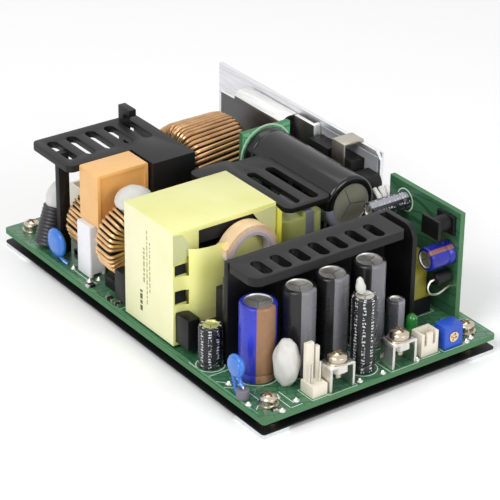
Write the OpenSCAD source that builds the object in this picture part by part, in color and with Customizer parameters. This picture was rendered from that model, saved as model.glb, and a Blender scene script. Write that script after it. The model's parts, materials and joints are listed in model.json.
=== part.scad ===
/* [Footprint] */
// Width of the unit, across X
unit_w = 76.2; // [75:0.1:80]
// Length of the unit, along Y
unit_l = 127; // [126:0.1:131]
// Distance of each mounting hole from the unit's two nearest edges
hole_inset = 5.715; // [5.5:0.005:6]
// Radius of a mounting hole through the chassis, clear of an M3 screw
hole_r = 1.7; // [1.6:0.05:1.8]
// Radius of the spacers' bores, nominal for an M3 thread
thread_r = 1.5; // [1.5:0.01:1.52]
// Radius of a corner hole in the board
board_hole_r = 1.9; // [1.88:0.02:2]
// Radius of a corner of the board
corner_r = 1; // [0.5:0.1:2]

/* [Stack] */
// Thickness of the aluminium chassis sheet
sheet_t = 1.2; // [0.8:0.1:2]
// Thickness of the black insulating sheet
film_t = 0.4; // [0.2:0.05:0.8]
// Height of a spacer above the chassis sheet
spacer_h = 2.9; // [2.5:0.1:6]
// Outer radius of a spacer
spacer_r = 2.9; // [2.5:0.1:3.2]
// Thickness of the circuit board
pcb_t = 1.6; // [1:0.1:2.4]

/* [Chassis] */
// Depth of the recesses between the corner ears
ear_recess = 2.5; // [0.5:0.1:3.5]
// Length of an ear along the short edges
ear_short = 8; // [7:0.5:12]
// Length of an ear along the long edges
ear_long = 12; // [9:0.5:16]
// Height of the side wall above the board
wall_h = 33.8; // [30:0.1:33.8]
// Y of the wall's front end
wall_front = -14; // [-16:0.5:-8]
// Gap from the wall's rear end to the unit's rear edge
wall_rear_gap = 0.5; // [0:0.1:2]
// Gap between the wall and what stands beside it
wall_gap = 0.3; // [0.1:0.1:1]

/* [Board screws] */
// Radius of a screw's shank
screw_r = 1.45; // [1:0.05:1.45]
// Length of the shank under the washer
screw_l = 2.5; // [2:0.1:2.6]
// Radius and height of the pan head
pan_head = [2.3, 1.8]; // [1:0.1:3]
// Radius and thickness of the flat washer
washer = [2.7, 0.5]; // [0.3:0.1:3]
// Radius and thickness of the spring washer on it
spring_washer = [2.2, 0.9]; // [0.5:0.1:2.6]

/* [Main transformer] */
// Outer size of the taped transformer
xfmr_size = [32.6, 22.9, 33]; // [20:0.1:36]
// X, Y of its centre and its height above the board
xfmr_at = [-20.7, -10.5, 1]; // [-21:0.1:30]
// Build-up of the tape around the core
tape_t = 0.6; // [0.3:0.1:1]
// Thickness of the core's top and bottom bars, and of its outer legs
core_bar = [5, 3.8]; // [3:0.1:6]
// Gap from the coil to each outer leg, its reach past the core, and the gap over its upper flange
coil_fit = [0.7, 2.55, 1.6]; // [0.3:0.05:3]
// Radius of the coil's vertical corners
coil_r = 6; // [3:0.1:8]
// Thickness of a bobbin flange
flange_t = 1.2; // [0.8:0.1:1.4]
// Radius of the core's centre leg
centre_leg_r = 4.6; // [3:0.1:5]
// Outer and inner radius of the lead-out band's arch
lead_arch = [8.6, 5.9]; // [4:0.1:9]
// Width of the lead-out band along Y
lead_w = 4.9; // [1:0.1:5]

// Height above the transformer's foot and length of each gap in the wrap's left fold
wrap_gaps = [[12, 3.9], [20.3, 3.2]]; // [2:0.1:24]

/* [Capacitors beside the input] */
// Size of the X capacitor
xcap_size = [16.4, 9.2, 16]; // [8:0.1:17]
// X, Y of the X capacitor's centre
xcap_at = [-24.8, 25]; // [-26:0.1:26]
// Size of the white stand under it
stand_size = [5.2, 6.7, 16]; // [3:0.1:18]
// X, Y of the stand's centre
stand_at = [-31.8, 26.15]; // [-33:0.05:28]
// Radius and thickness of the blue Y capacitor
ycap = [4.3, 2.6]; // [2:0.1:4.4]
// X, Y and height of the Y capacitor's centre
ycap_at = [-35.7, 38.3, 5.2]; // [-36:0.1:40]
// Base radius, top radius and height of the inrush limiter's sleeve
limiter = [4, 3.05, 11.6]; // [2:0.05:16]
// X, Y of the inrush limiter's foot
limiter_at = [-33.8, 46.7]; // [-34:0.1:48]
// Lean of the inrush limiter towards +X, in degrees
limiter_lean = 13; // [0:0.5:15]

/* [Input cover] */
// Height of the input cover's top above the board
icov_h = 32; // [31:0.1:34]
// Thickness of the cover's plate and walls
icov_t = [2, 1.4]; // [1:0.1:3]
// Size of the cover's wide part across X and Y
icov_size = [34, 20]; // [18:0.1:36]
// X of its left edge and Y of its front edge
icov_at = [-36.2, 29.8]; // [-37:0.1:31]
// Width of the cover's boxed part and how far it reaches forward
icov_box = [13.8, 11]; // [8:0.1:14]
// Length, width and pitch of the cooling slots
icov_slot = [13, 3.2, 6.2]; // [2:0.05:14]
// Width, reach forward and height over the plate of the hook at the rear
icov_hook = [2.3, 5.7, 4.2]; // [2:0.1:8]

/* [Chokes] */
// Outer radius, inner radius and half width of the boost choke
boost = [14, 5, 10.7]; // [4:0.1:14]
// X, Y of the boost choke's centre
boost_at = [15.2, 40]; // [12:0.1:41]
// Outer radius, inner radius and half width of the front line choke
line = [10.8, 4, 4.3]; // [3:0.1:11]
// X, Y of the front line choke's centre
line_at = [-25.9, 13.3]; // [-27:0.1:14]
// Outer radius, inner radius and half width of the rear line choke
rear = [9.3, 3.6, 4.3]; // [3:0.1:9.3]
// X, Y of the rear line choke's centre
rear_at = [-23.9, 34.3]; // [-25:0.1:36]
// Turns on the boost choke and on each line choke
turns = [58, 42]; // [20:1:60]
// Heights of the plastic bases under the front and rear line chokes and the boost choke
base_h = [3.4, 1.5, 1]; // [0.5:0.1:6]
// Depth of the grooves between turns
wire_groove = 0.45; // [0.2:0.05:0.8]

/* [Bulk capacitor] */
// Radius and length of the bulk capacitor
bulk = [8, 39]; // [6:0.1:40]
// X and height of its axis, and Y of its rear end
bulk_at = [22.3, 25, 18.9]; // [18:0.1:26]
// Width, thickness and height of the riser board behind it
riser_size = [16.6, 1.6, 33]; // [1:0.1:34]

/* [Choke cover] */
// Size of the plate over the primary parts
ccov_size = [15, 32, 1.5]; // [1:0.1:33]
// X of its left edge, Y of its front edge and height of its top
ccov_at = [0, -21.2, 30]; // [-22:0.1:31]
// Length, width and pitch of its two slots
ccov_slot = [22, 2.9, 6.2]; // [2:0.1:22]
// Reach to the left and width along Y of the strap at its rear corner
ccov_strap = [8.6, 6]; // [3:0.1:9]
// Size of the taped drive transformer below the cover's front end
drive_size = [14, 12, 28]; // [6:0.1:28]
// X, Y of the drive transformer's centre
drive_at = [5.1, -15.8]; // [-16:0.1:6]

/* [Heatsinks beside the wall] */
// Thickness of the primary heatsink, and its height to the top of its flange
psink = [1.5, 32]; // [1:0.1:33]
// Distance of its inner face from the unit's right edge
psink_in = 7.1; // [6:0.1:7.2]
// Y of the heatsink's front and rear ends
psink_y = [22, 53.7]; // [21.5:0.1:54]
// Y of the flange's front and rear ends
flange_y = [23.7, 47]; // [22:0.1:53]
// Outer radius of the flange's bend
bend_r = 2.6; // [2:0.1:4]
// Thickness, width along Y and height of the folded plate
fold = [1.2, 9, 33]; // [1:0.1:33.5]
// Distance of the folded plate's inner face from the unit's right edge, and Y of its front end
fold_at = [4.1, 12.6]; // [4:0.1:14]
// Thickness, length along Y and height of the bridge rectifier
bridge = [3.4, 22, 17]; // [3:0.1:24]
// Height of the bridge rectifier above the board, and the pitch of its leads
bridge_leads = [6, 5.6]; // [4:0.1:7]

/* [Transistors on the wall] */
// Thickness, width along Y and height of a transistor
fet = [4.8, 9, 21]; // [3:0.1:24]
// Height of a transistor above the board
fet_z = 9; // [4:0.1:10]
// Y of each transistor's centre
fet_y = [-3, 7.4]; // [-4:0.1:12]
// Thickness of the clear film on the wall's inner face
wall_film_t = 0.3; // [0.1:0.05:0.3]
// Width along Y and thickness of the spring clip
clip = [5.4, 0.7]; // [0.4:0.1:7]
// Y of the spring clip's centre
clip_y = -2.4; // [-3:0.1:-1]
// Radius of the white leads beside the insulating cap
wire_r = 0.75; // [0.4:0.05:0.8]
// Width along Y and height of the insulating cap
icap = [7.8, 28]; // [5:0.1:30]

/* [Output cover] */
// Length, depth and height of the output cover
ocov_size = [52.6, 12.8, 30]; // [8:0.1:53]
// X of its left end and Y of its front edge
ocov_at = [-30.2, -47.9]; // [-49:0.1:-30]
// Thickness of its top and of its walls
ocov_t = [2.4, 1.5]; // [1:0.1:4]
// Gap between the end of its top and its right wall
ocov_gap = 2.5; // [2:0.1:4]
// Number, length, width and pitch of its slots
ocov_slot = [7, 7.5, 3.1, 6]; // [1:0.1:10]

/* [Output parts] */
// Thickness and height of the output heatsink
osink = [2, 24]; // [1:0.1:26]
// Width, thickness and height of an output rectifier
rect_size = [9, 4.4, 15]; // [3:0.1:18]
// X of the first rectifier and the pitch to the next
rect_x = [-23.5, 10]; // [-24:0.1:11]
// Radius and height of the three output capacitors
ocap = [4.55, 24.5]; // [3:0.05:26]
// X, Y of each output capacitor
ocap_at = [[-16.1, -48], [-5, -47.2], [7.2, -47]];
// Radius and height of the blue output capacitor
bluecap = [4.95, 21.7]; // [3:0.05:25]
// X, Y of the blue output capacitor
bluecap_at = [-26.4, -44.6]; // [-48:0.1:-26]
// Radius and height of the filter capacitor
fcap = [3.4, 21.6]; // [2:0.1:22]
// X, Y of the filter capacitor
fcap_at = [-2.2, -57.3]; // [-58:0.1:0]
// Radius and height of the egg-shaped bead of sealant
egg_size = [3.3, 13.4]; // [2:0.1:14]
// X, Y of the bead of sealant
egg_at = [-23.3, -52.9]; // [-54:0.1:-22]
// Radius and height of the small capacitor
scap = [2.5, 12.4]; // [1.5:0.1:14]
// X, Y of the small capacitor
scap_at = [13.7, -50.6]; // [-53:0.1:15]
// Radius and height of the bias capacitor
bias = [3.2, 12]; // [2:0.1:14]
// X, Y of the bias capacitor
bias_at = [-33.35, -33.65]; // [-34:0.05:-33]

/* [Output terminals and headers] */
// Width, depth and height of a terminal's bracket
term_size = [8, 5.2, 7.4]; // [5:0.1:10]
// Thickness of the bracket's sheet
term_t = 0.8; // [0.5:0.1:1]
// X of the left and right terminals' centres
term_x = [-12.9, 7.25]; // [-14:0.05:8]
// Gap from the board's front edge to the parts along it
front_gap = 0.6; // [0.3:0.1:1.2]
// Radius and height of a terminal screw's head
term_head = [2.6, 2.2]; // [1:0.1:3]
// Radius and thickness of the washer captive under it
term_washer = [3.1, 0.5]; // [0.3:0.1:3.1]
// Width, depth and height of the sense header's base
sense_size = [4.6, 5.2, 3.3]; // [3:0.1:7]
// X of the sense header's centre
sense_x = -19.6; // [-20:0.1:-19]
// Width, depth and height of the fan header
fan_size = [5.6, 4.3, 6.6]; // [4:0.1:8]
// X of the fan header's centre, and how far it stands behind the parts along the edge
fan_at = [16.4, 0.9]; // [0.2:0.1:17]
// Width, depth and height of the trimmer's body
trim_size = [6.1, 4.5, 6.5]; // [4:0.1:8]
// X of the trimmer's centre, and how far it stands behind the parts along the edge
trim_at = [24.1, 0.4]; // [0.2:0.1:26]
// Radius of the trimmer's rotor and its clearance in the body
rotor = [1.5, 0.05]; // [0.04:0.01:2]
// Radius and height of the status light
led = [1.6, 7.4]; // [1:0.1:8]
// X, Y of the status light
led_at = [18, -52.4]; // [-54:0.1:20]
// Radius and thickness of the small disc capacitor
disc = [3.2, 2.4]; // [1.5:0.1:3.4]
// X, Y and height of its centre
disc_at = [-36.1, -48.9, 8.1]; // [-51:0.1:10]
// Distance along Y from its centre to its front lead, and to its rear lead
disc_leads = [3, 1.6]; // [1:0.1:3]
// Radius and height of the ferrite sleeve on its front lead
bead = [1.7, 2.9]; // [1:0.1:5]

/* [Control board] */
// Thickness, width along Y and height of the control board
ctrl_size = [1.6, 29.5, 31.5]; // [1:0.1:33]
// Distance of its inner face from the unit's right edge, and Y of its front edge
ctrl_at = [3.9, -51.2]; // [-53:0.1:6]
// Radius and length of its grey capacitor
ctrl_cap = [2.5, 12.6]; // [2:0.1:15]
// Y and height of the grey capacitor's axis
ctrl_cap_at = [-28.4, 26.4]; // [-31:0.1:29]
// Radius and length of its dark blue capacitor
ctrl_blue = [3.3, 8.2]; // [2:0.1:12]
// Y and height of the dark blue capacitor's axis
ctrl_blue_at = [-47.3, 18.8]; // [-48.2:0.1:19]
// Size of the black coil on it
ctrl_coil = [6.2, 6.9, 5.4]; // [3:0.1:8]
// Y and height of the coil's front lower corner
ctrl_coil_at = [-49.6, 24.6]; // [-50:0.1:26]
// Radius and length of the diode's body
diode = [1.8, 5]; // [1:0.1:8]
// Y and height of the diode's axis
diode_at = [-48.2, 12.4]; // [-49:0.1:13]
// Size of the auxiliary transformer
aux_size = [9.2, 10.2, 17]; // [5:0.1:18]
// X, Y of the auxiliary transformer's centre
aux_at = [27.1, -38.8]; // [-40:0.1:28]

/* [Input connector] */
// Width, depth and height of the input connector
conn_size = [14, 7.4, 9]; // [5:0.1:16]
// X of the connector's centre
conn_x = -10; // [-12:0.1:-8]

/* [Hidden] */
$fn = 48;
eps = 0.01;

left = -unit_w / 2;
right = unit_w / 2;
front = -unit_l / 2;
back = unit_l / 2;
board_bottom = sheet_t + spacer_h;
board_top = board_bottom + pcb_t;
wall_in = right - sheet_t;
psink_x = right - psink_in;
fold_x = right - fold_at.x;
ctrl_x = right - ctrl_at.x;
lead_r = 0.4;
screw_clear = 0.15;

// Moves its children to a place measured from the board's top face
module on_board(at = [0, 0, 0]) translate([at.x, at.y, board_top + (len(at) > 2 ? at.z : 0)]) children();

// Box that stands on the board, centred in X and Y
module block(size, at) on_board(at) translate([-size.x / 2, -size.y / 2, 0]) cube(size);

// Rectangle with round corners, from its lower left corner
module round_rect(size, r) {
    translate([r, 0]) square([size.x - 2 * r, size.y]);
    translate([0, r]) square([size.x, size.y - 2 * r]);
    for (x = [r, size.x - r], y = [r, size.y - r]) translate([x, y]) circle(r);
}

// Slot along Y with round ends, centred
module slot(l, w) {
    square([w, l - w], center = true);
    for (s = [-1, 1]) translate([0, s * (l - w) / 2]) circle(w / 2);
}

// Box with round vertical edges, from its lower left corner
module round_block(size, r) linear_extrude(size.z) round_rect([size.x, size.y], r);

// Places its children at the four mounting holes
module at_holes() for (x = [-1, 1], y = [-1, 1])
    translate([x * (right - hole_inset), y * (back - hole_inset), 0]) children();

// Can of an electrolytic capacitor with a rolled neck and a recessed top, standing on z = 0
module can(r, h) {
    neck = r * 0.05;
    rim = r * 0.16;
    rotate_extrude() difference() {
        union() {
            square([r - rim, h]);
            translate([0, rim]) square([r, h - 2 * rim]);
            for (z = [rim, h - rim]) translate([r - rim, z]) circle(rim);
        }
        translate([r + neck * 2, r * 0.55]) circle(neck * 3);
        translate([0, h - r * 0.09]) square([r * 0.72, r * 0.1]);
    }
}

// Screw with a cross recess over a flat washer and a spring washer, seated on z = 0
module washer_screw(head, flat, spring, shank_r, shank_l) {
    recess_w = head.x * 0.3;
    seat = flat.y + spring.y;
    difference() {
        union() {
            cylinder(r = flat.x, h = flat.y);
            cylinder(r = spring.x, h = seat);
            translate([0, 0, -shank_l]) cylinder(r = shank_r, h = shank_l + eps);
            translate([0, 0, seat]) rotate_extrude() intersection() {
                square([head.x, head.y]);
                translate([0, head.y - head.x * 1.35]) circle(head.x * 1.35);
            }
        }
        for (a = [0, 90]) rotate(a) translate([0, 0, seat + head.y])
            cube([head.x * 1.2, recess_w, head.y], center = true);
    }
}

// Wound toroid with its axis along Z: size is outer radius, inner radius, half width
function sgn_pow(v, p) = sign(v) * pow(abs(v), p);
function wound_point(size, i, n, k, m) =
    let (ang = -90 + 360 * (i - k * 0.25) / n, sec = 360 * k / m,
        mid = (size.x + size.y) / 2, half = (size.x - size.y) / 2,
        cut = (i % 2) * wire_groove,
        rad = mid + (half - cut) * sgn_pow(cos(sec), 0.55))
    [rad * cos(ang), rad * sin(ang), (size.z - cut) * sgn_pow(sin(sec), 0.55)];
module wound_toroid(size, turn_count) {
    n = 2 * turn_count;
    m = 14;
    points = [for (i = [0:n - 1], k = [0:m - 1]) wound_point(size, i, n, k > m / 2 ? m - k : k, m)
        + (k > m / 2 ? [0, 0, -2 * wound_point(size, i, n, m - k, m).z] : [0, 0, 0])];
    faces = [for (i = [0:n - 1], k = [0:m - 1]) let (j = (i + 1) % n, l = (k + 1) % m)
        each [[i * m + k, i * m + l, j * m + l], [i * m + k, j * m + l, j * m + k]]];
    polyhedron(points, faces);
}

// Board outline, with the notch that the side wall passes
module board_outline(clear) difference() {
    translate([left, front]) round_rect([unit_w, unit_l], corner_r);
    translate([wall_in - clear, wall_front - clear]) square([unit_w, unit_l]);
}

// Recess between two ears, open along -Y
module ear_notch(l) polygon([[-l / 2, -eps], [l / 2, -eps], [l / 2 - ear_recess, ear_recess],
    [-l / 2 + ear_recess, ear_recess]]);

module chassis() color("gainsboro") {
    wall_len = back - wall_rear_gap - wall_front;
    side_len = unit_l - 2 * ear_long;
    difference() {
        union() {
            linear_extrude(sheet_t) difference() {
                translate([left, front]) round_rect([unit_w, unit_l], corner_r);
                for (a = [0, 180]) rotate(a) translate([0, front]) ear_notch(unit_w - 2 * ear_short);
                translate([left, 0]) rotate(-90) ear_notch(side_len);
                translate([right, (front + ear_long + wall_front) / 2]) rotate(90)
                    ear_notch(wall_front - front - ear_long);
            }
            translate([wall_in, wall_front, 0]) cube([sheet_t, wall_len, board_top + wall_h]);
            translate([wall_in - sheet_t, wall_front, sheet_t - eps]) difference() {
                cube([sheet_t + eps, wall_len, sheet_t]);
                translate([0, -1, sheet_t + eps]) rotate([-90, 0, 0])
                    cylinder(r = sheet_t, h = wall_len + 2);
            }
        }
        at_holes() translate([0, 0, -1]) cylinder(r = hole_r, h = sheet_t + 2);
        translate([wall_in - 1, wall_front, board_top + wall_h]) rotate([45, 0, 0])
            cube([sheet_t + 2, 3, 3], center = true);
    }
}

module insulating_sheet() color("#202022") difference() {
    translate([0, 0, sheet_t]) linear_extrude(film_t) board_outline(sheet_t + wall_gap);
    at_holes() cylinder(r = spacer_r + screw_clear, h = board_top);
}

module main_board() color("seagreen") difference() {
    translate([0, 0, board_bottom]) linear_extrude(pcb_t) board_outline(wall_gap);
    at_holes() cylinder(r = board_hole_r, h = board_top + 1);
}

module board_spacers() color("silver") at_holes() translate([0, 0, sheet_t]) rotate_extrude()
    translate([thread_r, 0]) square([spacer_r - thread_r, spacer_h]);

module board_screws() color("silver") at_holes() on_board()
    washer_screw(pan_head, washer, spring_washer, screw_r, screw_l);

// Transformer
xfmr_front = xfmr_at.y - xfmr_size.y / 2;
core_lo = xfmr_at.z + tape_t;
core_hi = xfmr_at.z + xfmr_size.z - tape_t;
leg_in = xfmr_size.x / 2 - tape_t - core_bar.y;
coil_lo = core_lo + core_bar.x + flange_t;
coil_hi = core_hi - core_bar.x - flange_t - coil_fit.z;
coil_size = [2 * (leg_in - coil_fit.x), xfmr_size.y + 2 * coil_fit.y, coil_hi - coil_lo];
lead_x = xfmr_at.x + leg_in - lead_arch.y - 0.9;

module transformer_core() color("#3a3a3a") {
    w = xfmr_size.x - 2 * tape_t;
    d = xfmr_size.y - 2 * tape_t;
    inner = core_hi - core_lo - 2 * core_bar.x;
    on_board([xfmr_at.x, xfmr_at.y, core_lo]) {
        difference() {
            translate([-w / 2, -d / 2, 0]) cube([w, d, core_hi - core_lo]);
            translate([-leg_in, -d, core_bar.x]) cube([2 * leg_in, 2 * d, inner]);
        }
        translate([0, 0, core_bar.x - eps]) cylinder(r = centre_leg_r, h = inner + 2 * eps);
    }
}

// Tape wrap round the core, folded at the front into a flap and a gusset beside the window
module transformer_wrap() color("#ecebaa") {
    half = xfmr_size.x / 2;
    top = xfmr_size.z;
    edge = 1.4;
    gap_w = core_bar.y + 0.2;
    flap_lo = coil_hi + flange_t + 0.2 - xfmr_at.z;
    flap = [[-half, top], [-half, flap_lo - 2.6], [-leg_in + 0.2, flap_lo - 2.6],
        [-leg_in + 0.2, flap_lo], [-leg_in + 3.7, flap_lo], [-leg_in + 3.7, top - 0.8],
        [-leg_in + 4.6, top]];
    gusset = [[half, top], [half - 7.4, top], [half - 7.4, top - edge], [half - 5.6, top - 3.8],
        [half - 4.2, top - 4.8], [half - 0.9, top - 9.9], [half, top - 10]];
    on_board([xfmr_at.x, xfmr_front, xfmr_at.z]) {
        difference() {
            translate([-half, 0, 0]) cube(xfmr_size);
            translate([-half + tape_t, tape_t, -1])
                cube([xfmr_size.x - 2 * tape_t, xfmr_size.y - 2 * tape_t, xfmr_size.z - tape_t + 1]);
            translate([-leg_in, -1, -1]) cube([2 * leg_in, xfmr_size.y + 2, top - edge + 1]);
            for (z = wrap_gaps) translate([-half + tape_t, -1, z[0]]) cube([gap_w, tape_t + 2, z[1]]);
        }
        for (outline = [flap, gusset]) translate([0, tape_t, 0]) rotate([90, 0, 0])
            linear_extrude(tape_t) polygon(outline);
    }
}

module transformer_coil() color("#e8ea80") difference() {
    on_board([xfmr_at.x - coil_size.x / 2, xfmr_at.y - coil_size.y / 2, coil_lo])
        round_block(coil_size, coil_r);
    on_board([xfmr_at.x, xfmr_at.y, coil_lo - 1])
        cylinder(r = centre_leg_r + 1, h = coil_size.z + 2);
}

module transformer_bobbin() color("#26262a") {
    coil_front = coil_size.y / 2;
    pin_block = [lead_x + lead_arch.y - 0.6 - (xfmr_at.x - xfmr_size.x / 2 + tape_t), 5.8, coil_lo - 2.6];
    flange = [coil_size.x - 0.4, coil_size.y - 0.6, flange_t];
    pin_lift = coil_lo - pin_block.z - 0.2;
    pins = 5;
    pitch = (pin_block.x - 4) / (pins + 1);
    difference() {
        union() {
            for (z = [coil_lo - flange_t, coil_hi])
                on_board([xfmr_at.x - flange.x / 2, xfmr_at.y - flange.y / 2, z])
                    round_block(flange, coil_r - 0.2);
            on_board([xfmr_at.x, xfmr_at.y, coil_lo - eps])
                cylinder(r = centre_leg_r + 0.9, h = coil_size.z + 2 * eps);
            for (s = [-1, 1]) on_board([xfmr_at.x - xfmr_size.x / 2 + tape_t,
                xfmr_at.y - pin_block.y / 2 + s * (coil_front + 0.6), pin_lift]) {
                cube(pin_block);
                cube([core_bar.y - 0.2, pin_block.y, pin_block.z + 3.4]);
            }
        }
        on_board([xfmr_at.x, xfmr_at.y, core_lo]) cylinder(r = centre_leg_r + 0.1, h = xfmr_size.z);
        on_board([xfmr_at.x - unit_w, xfmr_front, -1])
            cube([2 * unit_w, xfmr_size.y, core_lo + core_bar.x + 1]);
    }
    for (s = [-1, 1], i = [-2:2]) on_board([xfmr_at.x + i * pitch, xfmr_at.y + s * (coil_front + 0.8), 0])
        cylinder(r = lead_r, h = pin_lift + eps);
}

module transformer_lead_out() color("#e9cfae") {
    arch_z = coil_hi + flange_t - 3;
    arch_y = xfmr_front - 0.3;
    on_board([lead_x, arch_y, arch_z]) rotate([90, 0, 0]) linear_extrude(lead_w) difference() {
        union() {
            circle(lead_arch.x);
            translate([lead_arch.y, -arch_z]) square([lead_arch.x - lead_arch.y, arch_z]);
        }
        circle(lead_arch.y);
        translate([-lead_arch.x - 1, -unit_l]) square([lead_arch.x + 1 + lead_arch.y, unit_l]);
        translate([-lead_arch.x - 1, -eps]) square([lead_arch.x + 1, 3 + eps]);
    }
}

module x_capacitor() color("#f0b060") {
    rim = 1;
    difference() {
        on_board([xcap_at.x - xcap_size.x / 2, xcap_at.y - xcap_size.y / 2, stand_size.z])
            translate([0, xcap_size.y, 0]) rotate([90, 0, 0])
                linear_extrude(xcap_size.y) round_rect([xcap_size.x, xcap_size.z], 0.6);
        on_board([xcap_at.x - xcap_size.x / 2 + rim, xcap_at.y - xcap_size.y / 2 - 1, stand_size.z + rim])
            cube([xcap_size.x - 2 * rim, 1.5, xcap_size.z - 2 * rim]);
    }
    for (x = [-0.06, 0.4] * xcap_size.x) on_board([xcap_at.x + x, xcap_at.y])
        cylinder(r = lead_r, h = stand_size.z + eps);
}

module capacitor_stand() color("white") difference() {
    block(stand_size, stand_at);
    block([stand_size.x - 2.4, stand_size.y, 1], [stand_at.x, stand_at.y, -eps]);
}

module input_cover() color("#3c3c3e") {
    box_x = icov_at.x + icov_size.x - icov_box.x;
    box_y = icov_at.y - icov_box.y;
    rear_y = icov_at.y + icov_size.y;
    right_x = icov_at.x + icov_size.x;
    leg_h = icov_h - icov_t.x / 2;
    first_slot = icov_at.x + 4.2;
    hook_x = right_x - 3 - icov_hook.x;
    hook_stem = 2.7;
    on_board([0, 0, icov_h - icov_t.x]) linear_extrude(icov_t.x) difference() {
        union() {
            translate(icov_at) round_rect(icov_size, 2);
            translate([box_x, box_y]) square([icov_box.x, icov_box.y + 4]);
        }
        for (i = [0:4]) translate([first_slot + i * icov_slot.z, icov_at.y + icov_size.y * 0.52])
            slot(icov_slot.x, icov_slot.y);
    }
    on_board([box_x, box_y]) cube([icov_box.x, icov_t.y, leg_h]);
    on_board([box_x, box_y]) cube([icov_t.y, icov_box.y - 0.4, leg_h]);
    on_board([right_x - icov_t.y, box_y]) cube([icov_t.y, icov_box.y + icov_size.y - 2, leg_h]);
    on_board([icov_at.x + 3.1, icov_at.y + icov_size.y / 2 + 0.5]) cube([3.3, icov_t.x, leg_h]);
    on_board([hook_x, rear_y - 0.2 - hook_stem]) cube([icov_hook.x, hook_stem, icov_h + icov_hook.z]);
    on_board([hook_x, rear_y - 0.2 - icov_hook.y, icov_h + icov_hook.z - icov_t.x])
        cube([icov_hook.x, icov_hook.y, icov_t.x]);
}

module boost_choke() color("#c98a55") on_board([boost_at.x, boost_at.y, base_h.z + boost.x])
    rotate([90, 0, 90]) wound_toroid(boost, turns.x);

module line_choke_front() color("#c98a55") on_board([line_at.x, line_at.y, base_h.x + line.x])
    rotate([90, 0, 0]) wound_toroid(line, turns.y);

module line_choke_rear() color("#c98a55") on_board([rear_at.x, rear_at.y, base_h.y + rear.x])
    rotate([90, 0, 0]) wound_toroid(rear, turns.y);

module choke_bases() color("#2a2a2e") {
    for (c = [[line, line_at, base_h.x], [rear, rear_at, base_h.y]])
        block([c[0].x * 1.3, 2 * c[0].z + 0.4, c[2]], c[1]);
    block([2 * boost.z - 2, boost.x, base_h.z], boost_at);
}

// Coated disc that stands on edge, with its axis along X
module disc_body(r, t) rotate([0, 90, 0]) rotate_extrude() intersection() {
    square([r, t], center = false);
    translate([0, t / 2]) {
        square([r - t / 2, t], center = false);
        translate([0, -t / 2]) square([r - t / 2, t]);
        translate([r - t / 2, 0]) circle(t / 2);
    }
}

module y_capacitor() color("#3c82d7") {
    on_board([ycap_at.x - ycap.y / 2, ycap_at.y, ycap_at.z]) disc_body(ycap.x, ycap.y);
    for (s = [-1, 1]) on_board([ycap_at.x, ycap_at.y + s * ycap.x * 0.6])
        cylinder(r = lead_r, h = ycap_at.z - ycap.x * 0.6);
}

// Puts its children on the inrush limiter's leaning axis, with z = 0 at the foot of its sleeve
module on_limiter() on_board([limiter_at.x, limiter_at.y, limiter.x * sin(limiter_lean) + 0.1])
    rotate([0, limiter_lean, 0]) children();

module inrush_limiter() color("#2c2c2e") {
    steps = 8;
    rib_h = limiter.z / steps;
    on_limiter() rotate_extrude() for (i = [0:steps - 1]) {
        r = limiter.x + (limiter.y - limiter.x) * i / steps;
        translate([0, i * rib_h]) polygon([[0, 0], [r - 0.25, 0], [r, rib_h * 0.35],
            [r - 0.05, rib_h * 0.7], [r - 0.3, rib_h], [0, rib_h]]);
    }
    for (s = [-1, 1]) on_board([limiter_at.x, limiter_at.y + s * limiter.x / 2])
        cylinder(r = lead_r, h = limiter.x / 2);
}

// Drop of sealant that stands on z = 0: a dome over a short skirt
module drop(r, h, foot) rotate_extrude() {
    dome = h * 0.7;
    square([foot, h - dome + eps]);
    translate([0, h - dome]) intersection() {
        square([r, dome]);
        scale([r, dome]) circle(1);
    }
}

// Egg-shaped bead of sealant that stands on z = 0
module egg(r, h) rotate_extrude() polygon([for (a = [0:9:180])
    [r * sin(a) * (1 + 0.12 * cos(a)), h / 2 * (1 - cos(a))]]);

module sealant_drops() color("white") {
    on_limiter() translate([0.3, 0, limiter.z]) drop(3.1, 7.2, 3.1);
    on_board([line_at.x, line_at.y, base_h.x + 2 * line.x]) drop(4.6, 4.8, 4.6);
    on_board(egg_at) egg(egg_size.x, egg_size.y);
    on_board([fcap_at.x, fcap_at.y + 1.6, fcap.y]) drop(1.6, 4.6, 1.6);
}

module bias_capacitor() color("#2b2b2e") on_board(bias_at) can(bias.x, bias.y);

module output_cover() color("#3c3c3e") {
    right_end = ocov_at.x + ocov_size.x;
    plate_l = ocov_size.x - ocov_t.y - ocov_gap;
    edge_r = 4;
    on_board([ocov_at.x, ocov_at.y, ocov_size.z - ocov_t.x]) linear_extrude(ocov_t.x) difference() {
        union() {
            round_rect([plate_l - 4, ocov_size.y - eps], 3);
            translate([plate_l / 2, 0]) round_rect([plate_l / 2, ocov_size.y - eps], 1.2);
        }
        for (i = [0:ocov_slot[0] - 1]) translate([5.7 + i * ocov_slot[3], ocov_size.y * 0.37])
            slot(ocov_slot[1], ocov_slot[2]);
    }
    on_board([ocov_at.x, ocov_at.y + ocov_size.y - ocov_t.y])
        cube([ocov_size.x, ocov_t.y, ocov_size.z]);
    on_board([right_end - ocov_t.y, ocov_at.y]) rotate([90, 0, 90]) linear_extrude(ocov_t.y) {
        square([ocov_size.y, ocov_size.z - edge_r]);
        translate([edge_r, 0]) square([ocov_size.y - edge_r, ocov_size.z]);
        translate([edge_r, ocov_size.z - edge_r]) circle(edge_r);
    }
}

osink_y = ocov_at.y + ocov_size.y + 0.3;
osink_x = bias_at.x + bias.x + 1;
module output_heatsink() color("silver") on_board([osink_x, osink_y])
    cube([ocov_at.x + ocov_size.x - 2 - osink_x, osink.x, osink.y]);

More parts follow.
